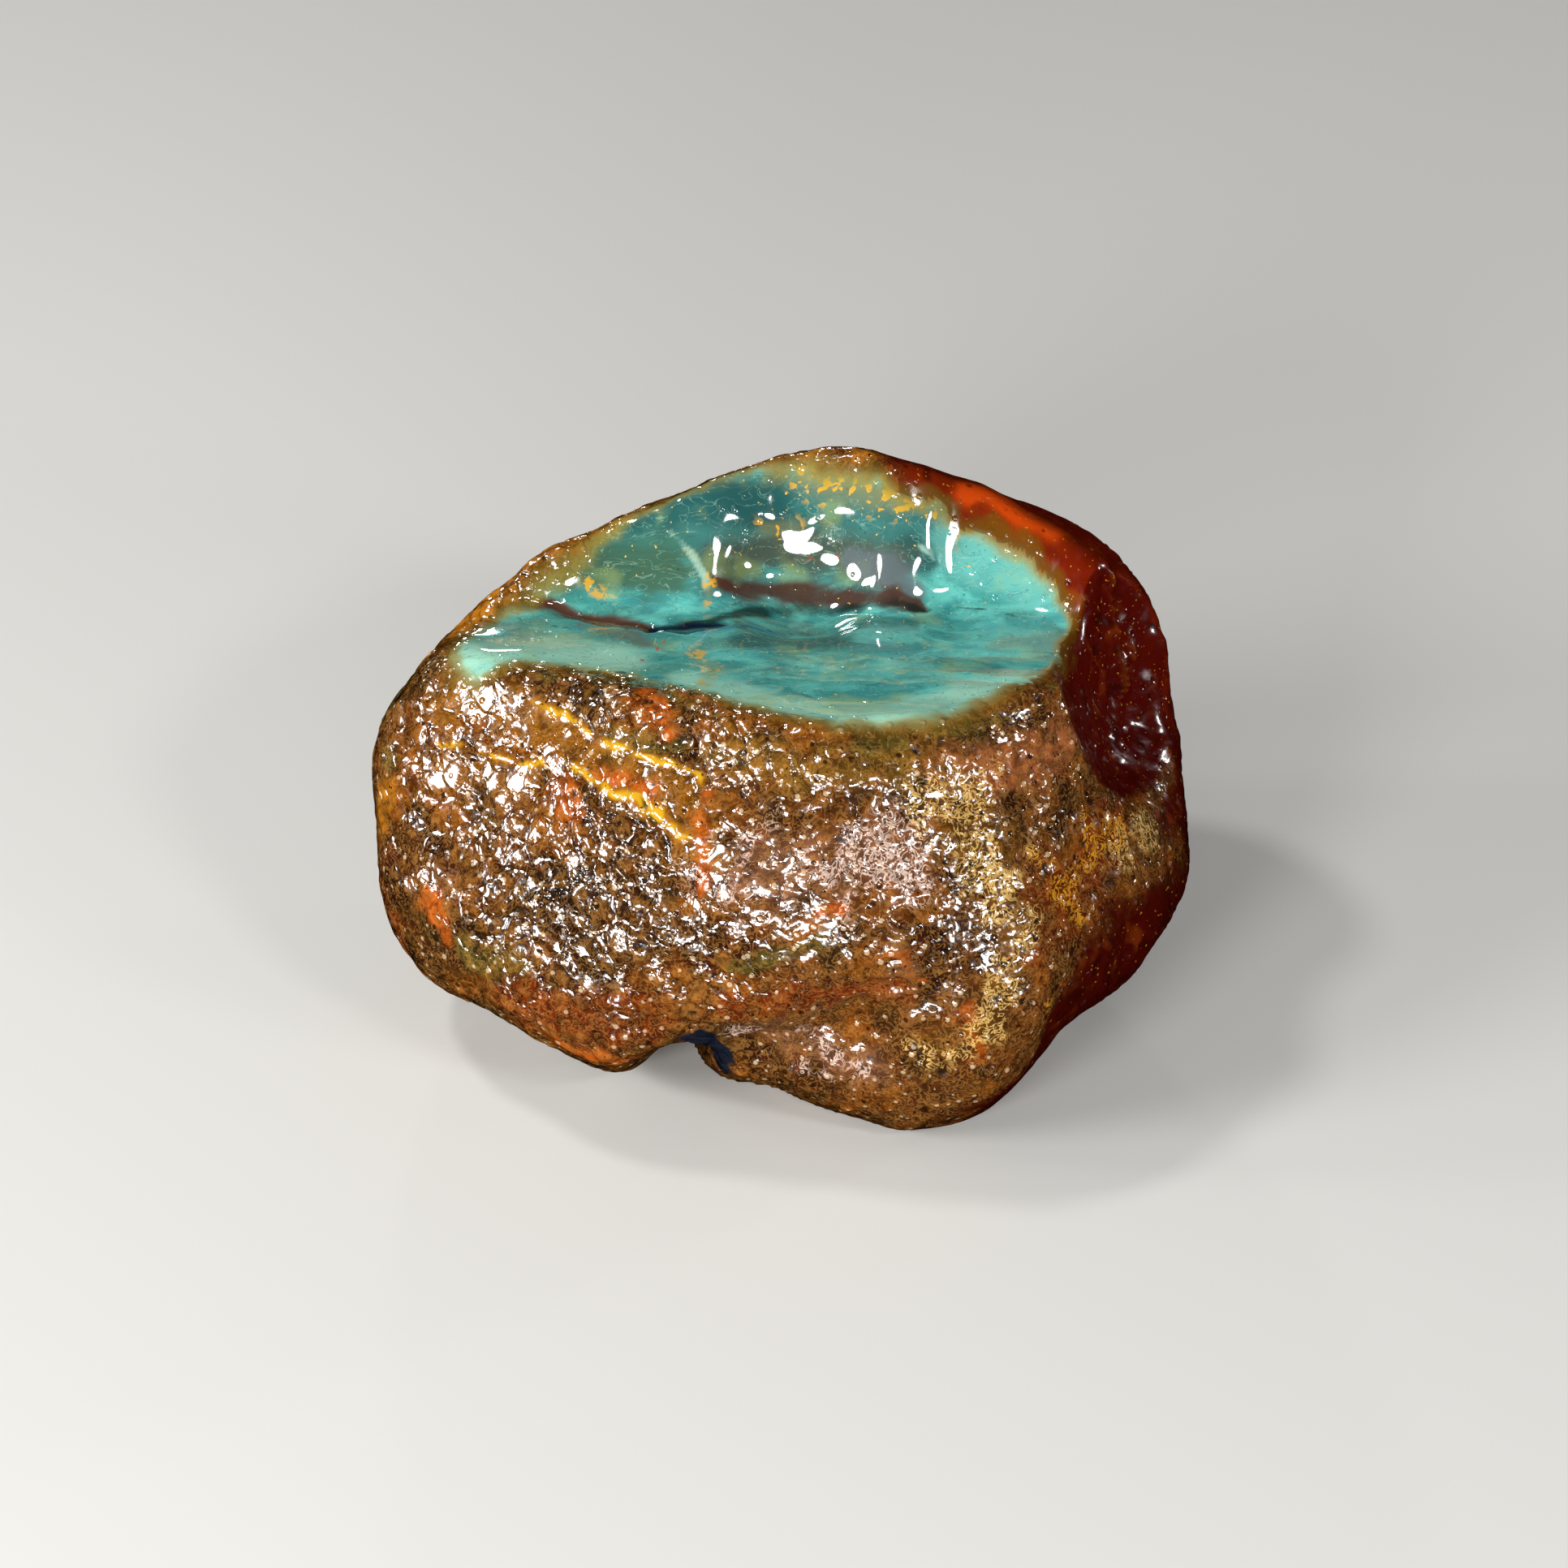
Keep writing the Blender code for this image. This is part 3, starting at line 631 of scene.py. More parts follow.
def makeReliefTree():
    tree = bpy.data.node_groups.new("stone relief", "GeometryNodeTree")
    tree.interface.new_socket("Geometry", in_out="INPUT", socket_type="NodeSocketGeometry")
    for name, size in reliefSizes.items():
        tree.interface.new_socket(name, in_out="INPUT", socket_type="NodeSocketFloat").default_value = size
    tree.interface.new_socket("Rind Material", in_out="INPUT", socket_type="NodeSocketMaterial")
    tree.interface.new_socket("Clear Material", in_out="INPUT", socket_type="NodeSocketMaterial")
    tree.interface.new_socket("Geometry", in_out="OUTPUT", socket_type="NodeSocketGeometry")
    given = addNode(tree, "NodeGroupInput").outputs
    # how many patterns go into a millimetre, for each named size
    per = {name: addNode(tree, "ShaderNodeMath", (1.0, given[name]), operation="DIVIDE")
           for name in reliefSizes if name.endswith(("Size", "Spacing"))}
    on = {}
    for name in storedZones:
        zone = addNode(tree, "GeometryNodeInputNamedAttribute", {"Name": name}, data_type="FLOAT")
        on[name] = zone.outputs["Attribute"]
    position = addNode(tree, "GeometryNodeInputPosition")
    place = addNode(tree, "ShaderNodeVectorMath", {0: position, "Scale": 1.0 / mm}, operation="SCALE")
    split = addNode(tree, "ShaderNodeSeparateXYZ", (place,)).outputs

    # pebbles: flat-topped cells with a narrow groove round each, squeezed out of round by a slow noise
    warp = addNode(tree, "ShaderNodeTexNoise", {
        "Vector": place, "Scale": 1.0 / patterns["squeezeSize"], "Detail": 1.0,
    }).outputs["Color"]
    pushed = addNode(tree, "ShaderNodeVectorMath", (warp, patterns["squeeze"], place),
                     operation="MULTIPLY_ADD")
    edges = addNode(tree, "ShaderNodeTexVoronoi", {"Vector": pushed, "Scale": per["Pebble Size"]},
                    feature="DISTANCE_TO_EDGE").outputs["Distance"]
    pebbles = addNode(tree, "ShaderNodeMapRange", (edges, *patterns["pebble"]), **soft)

    # grain: ridges that run up to the right, nearly three times as long as they are wide
    leaning = addNode(tree, "ShaderNodeVectorRotate", {
        "Vector": place, "Axis": (0.0, 1.0, 0.0), "Angle": patterns["grainLean"],
    })
    drawn = addNode(tree, "ShaderNodeVectorMath", (leaning, patterns["grainDraw"]), operation="MULTIPLY")
    grainNoise = addNode(tree, "ShaderNodeTexNoise", {
        "Vector": drawn, "Scale": per["Grain Size"], "Detail": 1.0, "Distortion": patterns["grainBend"],
    })
    grain = addNode(tree, "ShaderNodeMapRange", (grainNoise, *patterns["grain"]), **soft)

    # the left of the stone is pebbled, the middle and right are grained
    drift = addNode(tree, "ShaderNodeTexNoise", {
        "Vector": place, "Scale": 1.0 / patterns["driftSize"], "Detail": 2.0,
    })
    across = addNode(tree, "ShaderNodeMath", (drift, patterns["driftReach"], split["X"]),
                     operation="MULTIPLY_ADD")
    pebbled = addNode(tree, "ShaderNodeMapRange", (across, *patterns["pebbledAcross"]), **soft)
    grained = addNode(tree, "ShaderNodeMapRange", (across, *patterns["grainedAcross"]), **soft)

    # pits: one cell in three has a small round hole
    pitCells = addNode(tree, "ShaderNodeTexVoronoi", {"Vector": pushed, "Scale": per["Pit Spacing"]}).outputs
    roll = addNode(tree, "ShaderNodeSeparateXYZ", (pitCells["Color"],)).outputs["X"]
    chosen = addNode(tree, "ShaderNodeMapRange", (roll, *patterns["pitChoice"]), **soft)
    holes = addNode(tree, "ShaderNodeMapRange", (pitCells["Distance"], *patterns["pit"]), **soft)
    pits = addNode(tree, "ShaderNodeMath", (holes, chosen), operation="MULTIPLY")

    # slow waves all over, a slight tilt from pebble to pebble, and upright wrinkles on the clear side
    upright = addNode(tree, "ShaderNodeVectorMath", (place, patterns["wrinkleDraw"]), operation="MULTIPLY")
    waves, tilts, folded = [
        addNode(tree, "ShaderNodeMath", (addNode(tree, "ShaderNodeTexNoise", {
            "Vector": vector, "Scale": per[size], "Detail": detail, "Distortion": bend,
        }), 0.5), operation="SUBTRACT")
        for vector, size, detail, bend in (
            (place, "Wave Size", 1.5, 0.0), (place, "Tilt Size", 0.0, 0.0),
            (upright, "Wrinkle Size", 2.0, patterns["wrinkleBend"]),
        )
    ]
    folded = addNode(tree, "ShaderNodeMath", (folded,), operation="ABSOLUTE")
    wrinkles = addNode(tree, "ShaderNodeMapRange", (folded, *patterns["wrinkle"]), **soft)
    wrinkled = addNode(tree, "ShaderNodeMapRange", (split["X"], *patterns["wrinkledAcross"]), **soft)
    wrinkled = addNode(tree, "ShaderNodeMath", (wrinkled, on["clear"]), operation="MULTIPLY")

    # shell-like scoops, where the wall of the window broke away
    scoop = addNode(tree, "ShaderNodeTexVoronoi", {
        "Vector": place, "Scale": per["Scoop Size"],
    }).outputs["Distance"]
    scoops = addNode(tree, "ShaderNodeMath", (scoop, scoop), operation="MULTIPLY")
    scooped = addNode(tree, "ShaderNodeMapRange", (split["Z"], *patterns["scoopedAbove"]), **soft)
    scooped = addNode(tree, "ShaderNodeMath", (scooped, on["window"]), operation="MULTIPLY")
    behind = addNode(tree, "ShaderNodeMapRange", (split["Y"], *patterns["scoopedBehind"]), **soft)
    scooped = addNode(tree, "ShaderNodeMath", (scooped, behind), operation="MULTIPLY")

    # the rind's relief fades on the clear resin, stops at the window and is smoother round the yellow veins
    rind = addNode(tree, "ShaderNodeMath", (on["clear"], patterns["rindOnClear"], 1.0),
                   operation="MULTIPLY_ADD")
    rind = addNode(tree, "ShaderNodeMath", (rind, on["window"]), operation="SUBTRACT", use_clamp=True)
    smoother = addNode(tree, "ShaderNodeMapRange", (on["ochre"], *patterns["pebbleByOchre"]))
    pebbled = addNode(tree, "ShaderNodeMath", (pebbled, rind), operation="MULTIPLY")
    pebbled = addNode(tree, "ShaderNodeMath", (pebbled, smoother), operation="MULTIPLY")
    grained = addNode(tree, "ShaderNodeMath", (grained, rind), operation="MULTIPLY")
    calm = addNode(tree, "ShaderNodeMath", (on["window"], patterns["waveInWindow"], 1.0),
                   operation="MULTIPLY_ADD")
    height = 0.0
    for pattern, size, where in (
        (pebbles, "Pebble Height", pebbled), (tilts, "Tilt Height", pebbled),
        (grain, "Grain Height", grained), (pits, "Pit Height", rind),
        (waves, "Wave Height", calm), (wrinkles, "Wrinkle Height", wrinkled),
        (on["groove"], "Groove Height", 1.0), (on["vein"], "Vein Height", 1.0),
        (on["curl"], "Curl Height", 1.0), (on["crack"], "Crack Height", 1.0),
        (on["pocket"], "Pocket Height", 1.0), (on["seam"], "Seam Height", 1.0),
        (on["fold"], "Fold Height", on["clear"]), (scoops, "Scoop Height", scooped),
    ):
        scaled = addNode(tree, "ShaderNodeMath", (pattern, given[size]), operation="MULTIPLY")
        height = addNode(tree, "ShaderNodeMath", (scaled, where, height), operation="MULTIPLY_ADD")
    offTable = addNode(tree, "ShaderNodeMapRange", (split["Z"], *patterns["offTable"]), **soft)
    height = addNode(tree, "ShaderNodeMath", (height, offTable), operation="MULTIPLY")

    normal = addNode(tree, "GeometryNodeInputNormal")
    push = addNode(tree, "ShaderNodeVectorMath", {0: normal, "Scale": height}, operation="SCALE")
    kept = addNode(tree, "GeometryNodeSetPosition", {"Geometry": given["Geometry"], "Offset": push})

    # what the materials read back: the patterns, and two slow noises with three fields each
    clouds, dapples = [
        addNode(tree, "ShaderNodeTexNoise", {
            "Vector": place, "Scale": per[size], "Detail": detail,
        }).outputs["Color"]
        for size, detail in (("Cloud Size", 3.0), ("Dapple Size", 2.0))
    ]
    for name, value, kind in (
        ("pebble", pebbles, "FLOAT"), ("grain", grain, "FLOAT"), ("pit", pits, "FLOAT"),
        ("pebbled", pebbled, "FLOAT"), ("pushed", pushed, "FLOAT_VECTOR"),
        ("clouds", clouds, "FLOAT_VECTOR"), ("dapples", dapples, "FLOAT_VECTOR"),
    ):
        kept = addNode(tree, "GeometryNodeStoreNamedAttribute", {
            "Geometry": kept, "Name": name, "Value": value,
        }, data_type=kind, domain="POINT")
    whole = addNode(tree, "GeometryNodeRealizeInstances", {"Geometry": kept})
    rindOn = addNode(tree, "GeometryNodeSetMaterial", {
        "Geometry": whole, "Material": given["Rind Material"],
    })
    isClear = addNode(tree, "FunctionNodeCompare", (on["clear"], 0.5),
                      data_type="FLOAT", operation="GREATER_THAN")
    finished = addNode(tree, "GeometryNodeSetMaterial", {
        "Geometry": rindOn, "Selection": isClear, "Material": given["Clear Material"],
    })
    addNode(tree, "NodeGroupOutput", {"Geometry": finished})
    print("relief:", len(reliefSizes), "sizes and heights to set")
    return tree


# raw amber: resin hardened in the ground and tumbled by water, which leaves it wet-glossy all over, cloudy
# blue-green where it is broken open, beady brown where it has weathered and deep red where it is worn clear
amber = {
    "ior": 1.54,  # amber
    "windowRoughness": 0.06,
    "rindRoughness": 0.16,
    "pitRoughness": 0.25,  # added in the pits
    "coat": 1.0,
    "coatRoughness": 0.03,
    "facetTilt": 0.55,  # each pebble's top leans its own way
    "facetGap": 0.10,
    "facetHeight": 0.05,
    "dewSpacing": 0.95,  # the smallest beads, which are too fine for the mesh
    "dewRadius": 0.36,
    "dewShares": (0.5, 1.15),  # the smallest and largest bead, in that radius
    "dewHeight": 0.10,
    "dewOnPebbles": 0.35,  # share of the beads' height that is left on the coarse pebbles
    "dewOnSmooth": (0.76, 0.82, 0.0, 0.6),  # on the smooth resin, only beads with a high random number show
    "dewAtRim": 0.5,
    # where painted shade and painted highlights fall on the beads
    "creviceShade": (0.48, 0.85),
    "beadGlint": (0.55, 0.85),
    "holeShare": 0.22,
    "holeDepth": -0.7,
    "hole": (0.3, 0.75),
    "gritSize": 0.45,
    "gritHeights": (0.012, 0.001),  # on the rind and on the smooth resin
    "pore": (0.36, 0.28),
    "laceSize": 0.7,  # frosted crust in threads a fifth of a millimetre wide
    "laceBend": 1.4,
    "laceThread": (0.11, 0.0),
    "lacePatches": (6.0, -2.2),
    "laceFade": (0.2, 0.8),
    "raggedness": (2.4, -0.1),
    "beadsStandOut": 0.25,
    "lowBelow": 0.85,
    "streakDraw": (0.5, 1.0, 1.0),
    "streakTurn": (0.0, 0.1, -0.15),
    "streaks": (("streak", 2.6, 3.0, 0.9), ("thread", 1.3, 3.0, 1.2)),  # name, size, detail, bend
    "threads": (("paleThread", "threadX", 0.022), ("darkThread", "threadY", 0.02)),  # name, from, half width
    "markFade": 0.2,
    "speckSize": 0.34,
    "speck": (0.70, 0.78),
    "fleckSize": 0.85,
    "fleck": (0.53, 0.61),
    "fleckFade": 0.3,
    # painted light and shade: the clear resin is made lighter above and darker below
    "litHeights": (31.0, 39.0),  # the clear resin is warmer above and darker below, in millimetres
    "shadedHeights": (29.0, 14.0),
    "clearTransmission": 0.45,
    "absorptionColour": "#fdcb38",
    "absorptionDensity": 240.0,  # per metre: blue falls to a third in 4 mm, green in 10, red in over 200
}
# colours laid over each other, as (field, from, to, strength, colour), with the first colour under them all
rindLayers = ("#2e1407", (
    ("cloudX", 0.38, 0.60, 1.0, "#603411"), ("cloudY", 0.50, 0.62, 0.7, "#84460a"),
    ("cloudZ", 0.53, 0.64, 0.6, "#36280f"), ("dappleX", 0.55, 0.66, 0.55, "#4e1a05"),
    # the rosy tone over the middle is partly painted sheen
    ("rose", 0.3, 1.0, 0.7, "#7a5038"), ("rust", 0.3, 1.0, 0.85, "#6e2606"),
    ("umber", 0.3, 1.0, 0.75, "#2a1a0c"), ("tawny", 0.3, 1.0, 0.75, "#6e4e16"),
    # the honey tone is partly a painted glow
    ("ochre", 0.3, 1.0, 0.9, "#7a4809"), ("honey", 0.3, 1.0, 0.9, "#b06a0c"),
    ("blush", 0.3, 1.0, 0.8, "#9e5830"), ("olive", 0.3, 1.0, 0.6, "#54501e"),
    ("orange", 0.3, 1.0, 0.85, "#b24e0a"), ("gold", 0.3, 1.0, 0.8, "#6c4412"),
    # low and high: painted shade where the relief lies low, painted light where it stands up
    ("glow", 0.3, 1.0, 0.85, "#783004"), ("low", 0.25, 0.85, 0.5, "#1b0c05"),
    ("high", 0.72, 0.95, 0.2, "#a87030"), ("lace", 0.3, 1.0, 0.27, "#c08a44"),
    # the rosy lace is partly painted sheen
    ("roseLace", 0.1, 1.0, 0.8, "#dcc0b0"), ("goldLace", 0.1, 1.0, 0.7, "#e0b86a"),
    # the dark between the beads is painted shade
    ("glowLace", 0.1, 1.0, 0.65, "#dc9c24"), ("creviceShade", 0.0, 1.0, 0.35, "#140803"),
    ("vein", 0.03, 0.4, 0.7, "#98600c"), ("vein", 0.3, 0.8, 0.9, "#c8981c"),
    # the pale caps on the beads are painted highlights
    ("curl", 0.3, 0.8, 0.4, "#8a5a30"), ("beadGlint", 0.0, 1.0, 0.4, "#e8d2ac"),
    ("pore", 0.3, 0.9, 0.8, "#1c0a03"), ("hole", 0.1, 0.9, 0.85, "#140803"),
    ("pit", 0.2, 0.9, 0.9, "#150803"), ("groove", 0.2, 0.9, 0.85, "#120a05"),
    ("ink", 0.3, 0.6, 0.97, "#0e1826"), ("rim", 0.1, 1.0, 0.5, "#80621e"),
))
windowLayers = ("#43948c", (
    ("streakX", 0.38, 0.62, 1.0, "#62bcb0"), ("streakY", 0.50, 0.64, 0.6, "#358a8e"),
    # the wall's darker teal is partly painted shade
    ("wall", 0.3, 1.1, 0.88, "#356460"), ("wallLeft", 0.3, 1.1, 0.88, "#3c6858"),
    ("foam", 0.5, 1.2, 0.85, "#a2d6bc"), ("pale", 0.5, 1.2, 0.8, "#64aca2"),
    # the deep teal is painted shade in the scoops
    ("deep", 0.5, 1.2, 0.85, "#21504f"), ("moss", 0.5, 1.1, 0.85, "#3c5a46"),
    # the grey-green in the middle scoop's hollow is painted shade
    ("hollowShade", 0.4, 1.1, 0.92, "#475044"), ("sliver", 0.5, 1.2, 0.85, "#348ca2"),
    ("paleThread", 0.3, 1.0, 0.22, "#b9e3c8"), ("darkThread", 0.3, 1.0, 0.45, "#1f5250"),
    ("darkSpeck", 0.3, 1.0, 0.6, "#1a3a34"), ("cloudZ", 0.55, 0.68, 0.3, "#a5b86a"),
    ("smoke", 0.5, 1.2, 0.8, "#5e686c"), ("lens", 0.45, 1.1, 0.93, "#4b2a20"),
    # the dark foot of the wall is painted shade
    ("rustyCloud", 0.6, 1.3, 0.6, "#6f4a38"), ("crease", 0.5, 1.2, 0.85, "#16211d"),
    ("crack", 0.5, 1.1, 0.93, "#55230f"), ("pocket", 0.5, 1.1, 0.95, "#0d1b30"),
    ("seam", 0.7, 1.3, 0.55, "#b4e2cf"), ("redThread", 0.75, 1.2, 0.85, "#b83412"),
    ("fleck", 0.5, 1.5, 0.35, "#a8903a"), ("goldFleck", 0.1, 0.7, 0.8, "#dca62c"),
    ("goldSpeck", 0.3, 1.0, 0.85, "#e8b748"), ("rim", 0.2, 1.0, 0.7, "#9a8c38"),
))
clearLayers = ("#7a1404", (
    # lighter above and darker below: painted light and shade
    ("cloudX", 0.40, 0.62, 0.8, "#9a2806"), ("litAbove", 0.0, 1.0, 0.4, "#963408"),
    ("shadedBelow", 0.0, 1.0, 0.9, "#440602"), ("chip", 0.0, 1.0, 0.8, "#560501"),
    ("dappleX", 0.58, 0.72, 0.3, "#b04c0c"), ("dappleY", 0.44, 0.32, 0.6, "#2c0501"),
    # the bright orange on the ridge is a painted glow
    ("ember", 0.15, 0.8, 0.95, "#e8500c"), ("shade", 0.3, 1.0, 0.5, "#380c04"),
    ("honeyEnd", 0.4, 1.0, 0.7, "#a85a0c"), ("fold", 0.4, 1.0, 0.35, "#a8581a"),
    ("hole", 0.1, 0.9, 0.5, "#1c0301"), ("goldSpeck", 0.0, 0.6, 0.85, "#e0a030"),
    ("rim", 0.5, 1.0, 0.75, "#7e5a16"),
))
sharpMarks = ("vein", "curl", "groove")  # the other marks of the rind are stains and fade out raggedly


def layColours(tree, layers, fields):
    under, rows = layers
    for field, low, high, strength, colour in rows:
        share = addNode(tree, "ShaderNodeMapRange", (fields[field], low, high, 0.0, strength), **soft)
        under = addNode(tree, "ShaderNodeMix", (share, under, colour), data_type="RGBA")
    return under


def addChannels(tree, fields, name, colour):
    # the three channels of a colour, kept as three separate fields
    split = addNode(tree, "ShaderNodeSeparateXYZ", (colour,)).outputs
    fields.update({name + axis: split[axis] for axis in "XYZ"})


def readZones(tree):
    fields = {}
    marks = (*rindMarks, *windowMarks, *clearMarks)
    for zone in ("window", "clear", "rim", "chip", "pebble", "grain", "pit", "pebbled", *marks):
        fields[zone] = addNode(tree, "ShaderNodeAttribute", attribute_name=zone).outputs["Fac"]
    for stored, short in (("clouds", "cloud"), ("dapples", "dapple")):
        noises = addNode(tree, "ShaderNodeAttribute", attribute_name=stored).outputs["Vector"]
        addChannels(tree, fields, short, noises)
    return fields


def addDew(tree, fields, place):
    # dew: round beads under a millimetre across, each with its own random number
    cells = addNode(tree, "ShaderNodeTexVoronoi", {
        "Vector": place, "Scale": 1.0 / amber["dewSpacing"], "Randomness": 0.9,
    }).outputs
    addChannels(tree, fields, "luck", cells["Color"])
    bead = amber["dewRadius"] / amber["dewSpacing"]
    smallest, largest = [share * bead for share in amber["dewShares"]]
    reach = addNode(tree, "ShaderNodeMapRange", (fields["luckY"], 0.0, 1.0, smallest, largest))
    share = addNode(tree, "ShaderNodeMath", (cells["Distance"], reach), operation="DIVIDE")
    share = addNode(tree, "ShaderNodeMath", (share, share), operation="MULTIPLY")
    dew = addNode(tree, "ShaderNodeMath", (1.0, share), operation="SUBTRACT", use_clamp=True)
    fields["dew"] = dew
    # painted shade: the rind darkens between the beads
    fields["creviceShade"] = addNode(tree, "ShaderNodeMapRange", (cells["Distance"], *amber["creviceShade"]))
    # one bead in five fell out and left a dark hole
    outside = addNode(tree, "ShaderNodeMath", (1.0, fields["window"]), operation="SUBTRACT")
    hollow = addNode(tree, "ShaderNodeMath", (fields["luckZ"], amber["holeShare"]), operation="LESS_THAN")
    hollow = addNode(tree, "ShaderNodeMath", (hollow, outside), operation="MULTIPLY")
    fields["hollow"] = hollow
    full = addNode(tree, "ShaderNodeMath", (1.0, hollow), operation="SUBTRACT")
    # painted highlight: each whole bead gets a pale cap
    for name, amount in (("hole", hollow), ("beadGlint", full)):
        shown = addNode(tree, "ShaderNodeMapRange", (dew, *amber[name]), **soft)
        fields[name] = addNode(tree, "ShaderNodeMath", (shown, amount), operation="MULTIPLY")


def addFacets(tree, fields):
    # facets: the pebbles again, sharper than the mesh can hold, each with a flat top that leans its own way
    pushed = addNode(tree, "ShaderNodeAttribute", attribute_name="pushed").outputs["Vector"]
    pebbleScale = 1.0 / reliefSizes["Pebble Size"]
    cells = addNode(tree, "ShaderNodeTexVoronoi", {"Vector": pushed, "Scale": pebbleScale}).outputs
    offset = addNode(tree, "ShaderNodeVectorMath", (pushed, cells["Position"]), operation="SUBTRACT")
    lean = addNode(tree, "ShaderNodeVectorMath", (cells["Color"], (0.5, 0.5, 0.5)), operation="SUBTRACT")
    facet = addNode(tree, "ShaderNodeVectorMath", (offset, lean), operation="DOT_PRODUCT").outputs["Value"]
    edge = addNode(tree, "ShaderNodeTexVoronoi", {"Vector": pushed, "Scale": pebbleScale},
                   feature="DISTANCE_TO_EDGE").outputs["Distance"]
    top = addNode(tree, "ShaderNodeMapRange", (edge, 0.0, amber["facetGap"], 0.0, amber["facetHeight"]))
    facet = addNode(tree, "ShaderNodeMath", (facet, amber["facetTilt"], top), operation="MULTIPLY_ADD")
    fields["facet"] = addNode(tree, "ShaderNodeMath", (facet, fields["pebbled"]), operation="MULTIPLY")


def addCrust(tree, fields, place):
    # the stains fade out raggedly, where the dapples are low
    ragged = addNode(tree, "ShaderNodeMath", (fields["dappleY"], *amber["raggedness"]),
                     operation="MULTIPLY_ADD")
    for zone in rindMarks:
        if zone not in sharpMarks:
            fields[zone] = addNode(tree, "ShaderNodeMath", (fields[zone], ragged), operation="MULTIPLY")

    # painted shade and light: what lies low is darker and what stands up is paler
    pebble = addNode(tree, "ShaderNodeMix", (fields["pebbled"], fields["grain"], fields["pebble"]),
                     data_type="FLOAT")
    fields["high"] = addNode(tree, "ShaderNodeMath", (fields["dew"], amber["beadsStandOut"], pebble),
                             operation="MULTIPLY_ADD")
    fields["low"] = addNode(tree, "ShaderNodeMath", (amber["lowBelow"], fields["high"]),
                            operation="SUBTRACT")

    # lace: threads of frosted crust, rosy over the middle, where it is partly painted sheen, and golden over
    # the right cheek
    laceNoise = addNode(tree, "ShaderNodeTexNoise", {
        "Vector": place, "Scale": 1.0 / amber["laceSize"], "Detail": 2.0, "Distortion": amber["laceBend"],
    })
    lace = addNode(tree, "ShaderNodeMath", (laceNoise, 0.5), operation="SUBTRACT")
    lace = addNode(tree, "ShaderNodeMath", (lace,), operation="ABSOLUTE")
    lace = addNode(tree, "ShaderNodeMapRange", (lace, *amber["laceThread"]), **soft)
    fields["lace"] = lace
    for zone in ("rose", "gold", "glow"):
        patchy = addNode(tree, "ShaderNodeMath", (fields["cloudZ"], *amber["lacePatches"]),
                         operation="MULTIPLY_ADD")
        patchy = addNode(tree, "ShaderNodeMath", (patchy, fields[zone]), operation="MULTIPLY")
        reach = addNode(tree, "ShaderNodeMapRange", (patchy, *amber["laceFade"]), **soft)
        fields[zone + "Lace"] = addNode(tree, "ShaderNodeMath", (reach, lace), operation="MULTIPLY")
    fields["grit"] = addNode(tree, "ShaderNodeTexNoise", {
        "Vector": place, "Scale": 1.0 / amber["gritSize"], "Detail": 2.0,
    })
    fields["pore"] = addNode(tree, "ShaderNodeMapRange", (fields["grit"], *amber["pore"]), **soft)


def addStreaks(tree, fields, place):
    # the broken window is streaked along its length
    along = addNode(tree, "ShaderNodeMapping", {
        "Vector": place, "Scale": amber["streakDraw"], "Rotation": amber["streakTurn"],
    })
    for name, size, detail, bend in amber["streaks"]:
        noises = addNode(tree, "ShaderNodeTexNoise", {
            "Vector": along, "Scale": 1.0 / size, "Detail": detail, "Distortion": bend,
        }).outputs["Color"]
        addChannels(tree, fields, name, noises)
    for name, source, width in amber["threads"]:
        gap = addNode(tree, "ShaderNodeMath", (fields[source], 0.5), operation="SUBTRACT")
        gap = addNode(tree, "ShaderNodeMath", (gap,), operation="ABSOLUTE")
        fields[name] = addNode(tree, "ShaderNodeMapRange", (gap, width, 0.0))
    for zone in windowMarks:
        streaked = addNode(tree, "ShaderNodeMath", (fields[zone], fields["streakZ"]), operation="ADD")
        fields[zone] = addNode(tree, "ShaderNodeMath", (streaked, amber["markFade"]), operation="SUBTRACT")

    # gold and dark specks, larger gold flecks and the red threads, which the flecks' noise breaks up
    specks = addNode(tree, "ShaderNodeTexNoise", {
        "Vector": place, "Scale": 1.0 / amber["speckSize"], "Detail": 1.0,
    }).outputs["Color"]
    addChannels(tree, fields, "speck", specks)
    for name, source in (("goldSpeck", "speckX"), ("darkSpeck", "speckY")):
        fields[name] = addNode(tree, "ShaderNodeMapRange", (fields[source], *amber["speck"]))
    fleckNoise = addNode(tree, "ShaderNodeTexNoise", {
        "Vector": place, "Scale": 1.0 / amber["fleckSize"], "Detail": 2.0,
    })
    flecks = addNode(tree, "ShaderNodeMapRange", (fleckNoise, *amber["fleck"]), **soft)
    flecked = addNode(tree, "ShaderNodeMath", (fields["fleck"], amber["fleckFade"]), operation="SUBTRACT",
                      use_clamp=True)
    fields["goldFleck"] = addNode(tree, "ShaderNodeMath", (flecks, flecked), operation="MULTIPLY")
    fields["redThread"] = addNode(tree, "ShaderNodeMath", (fields["redThread"], flecks),
                                  operation="MULTIPLY")


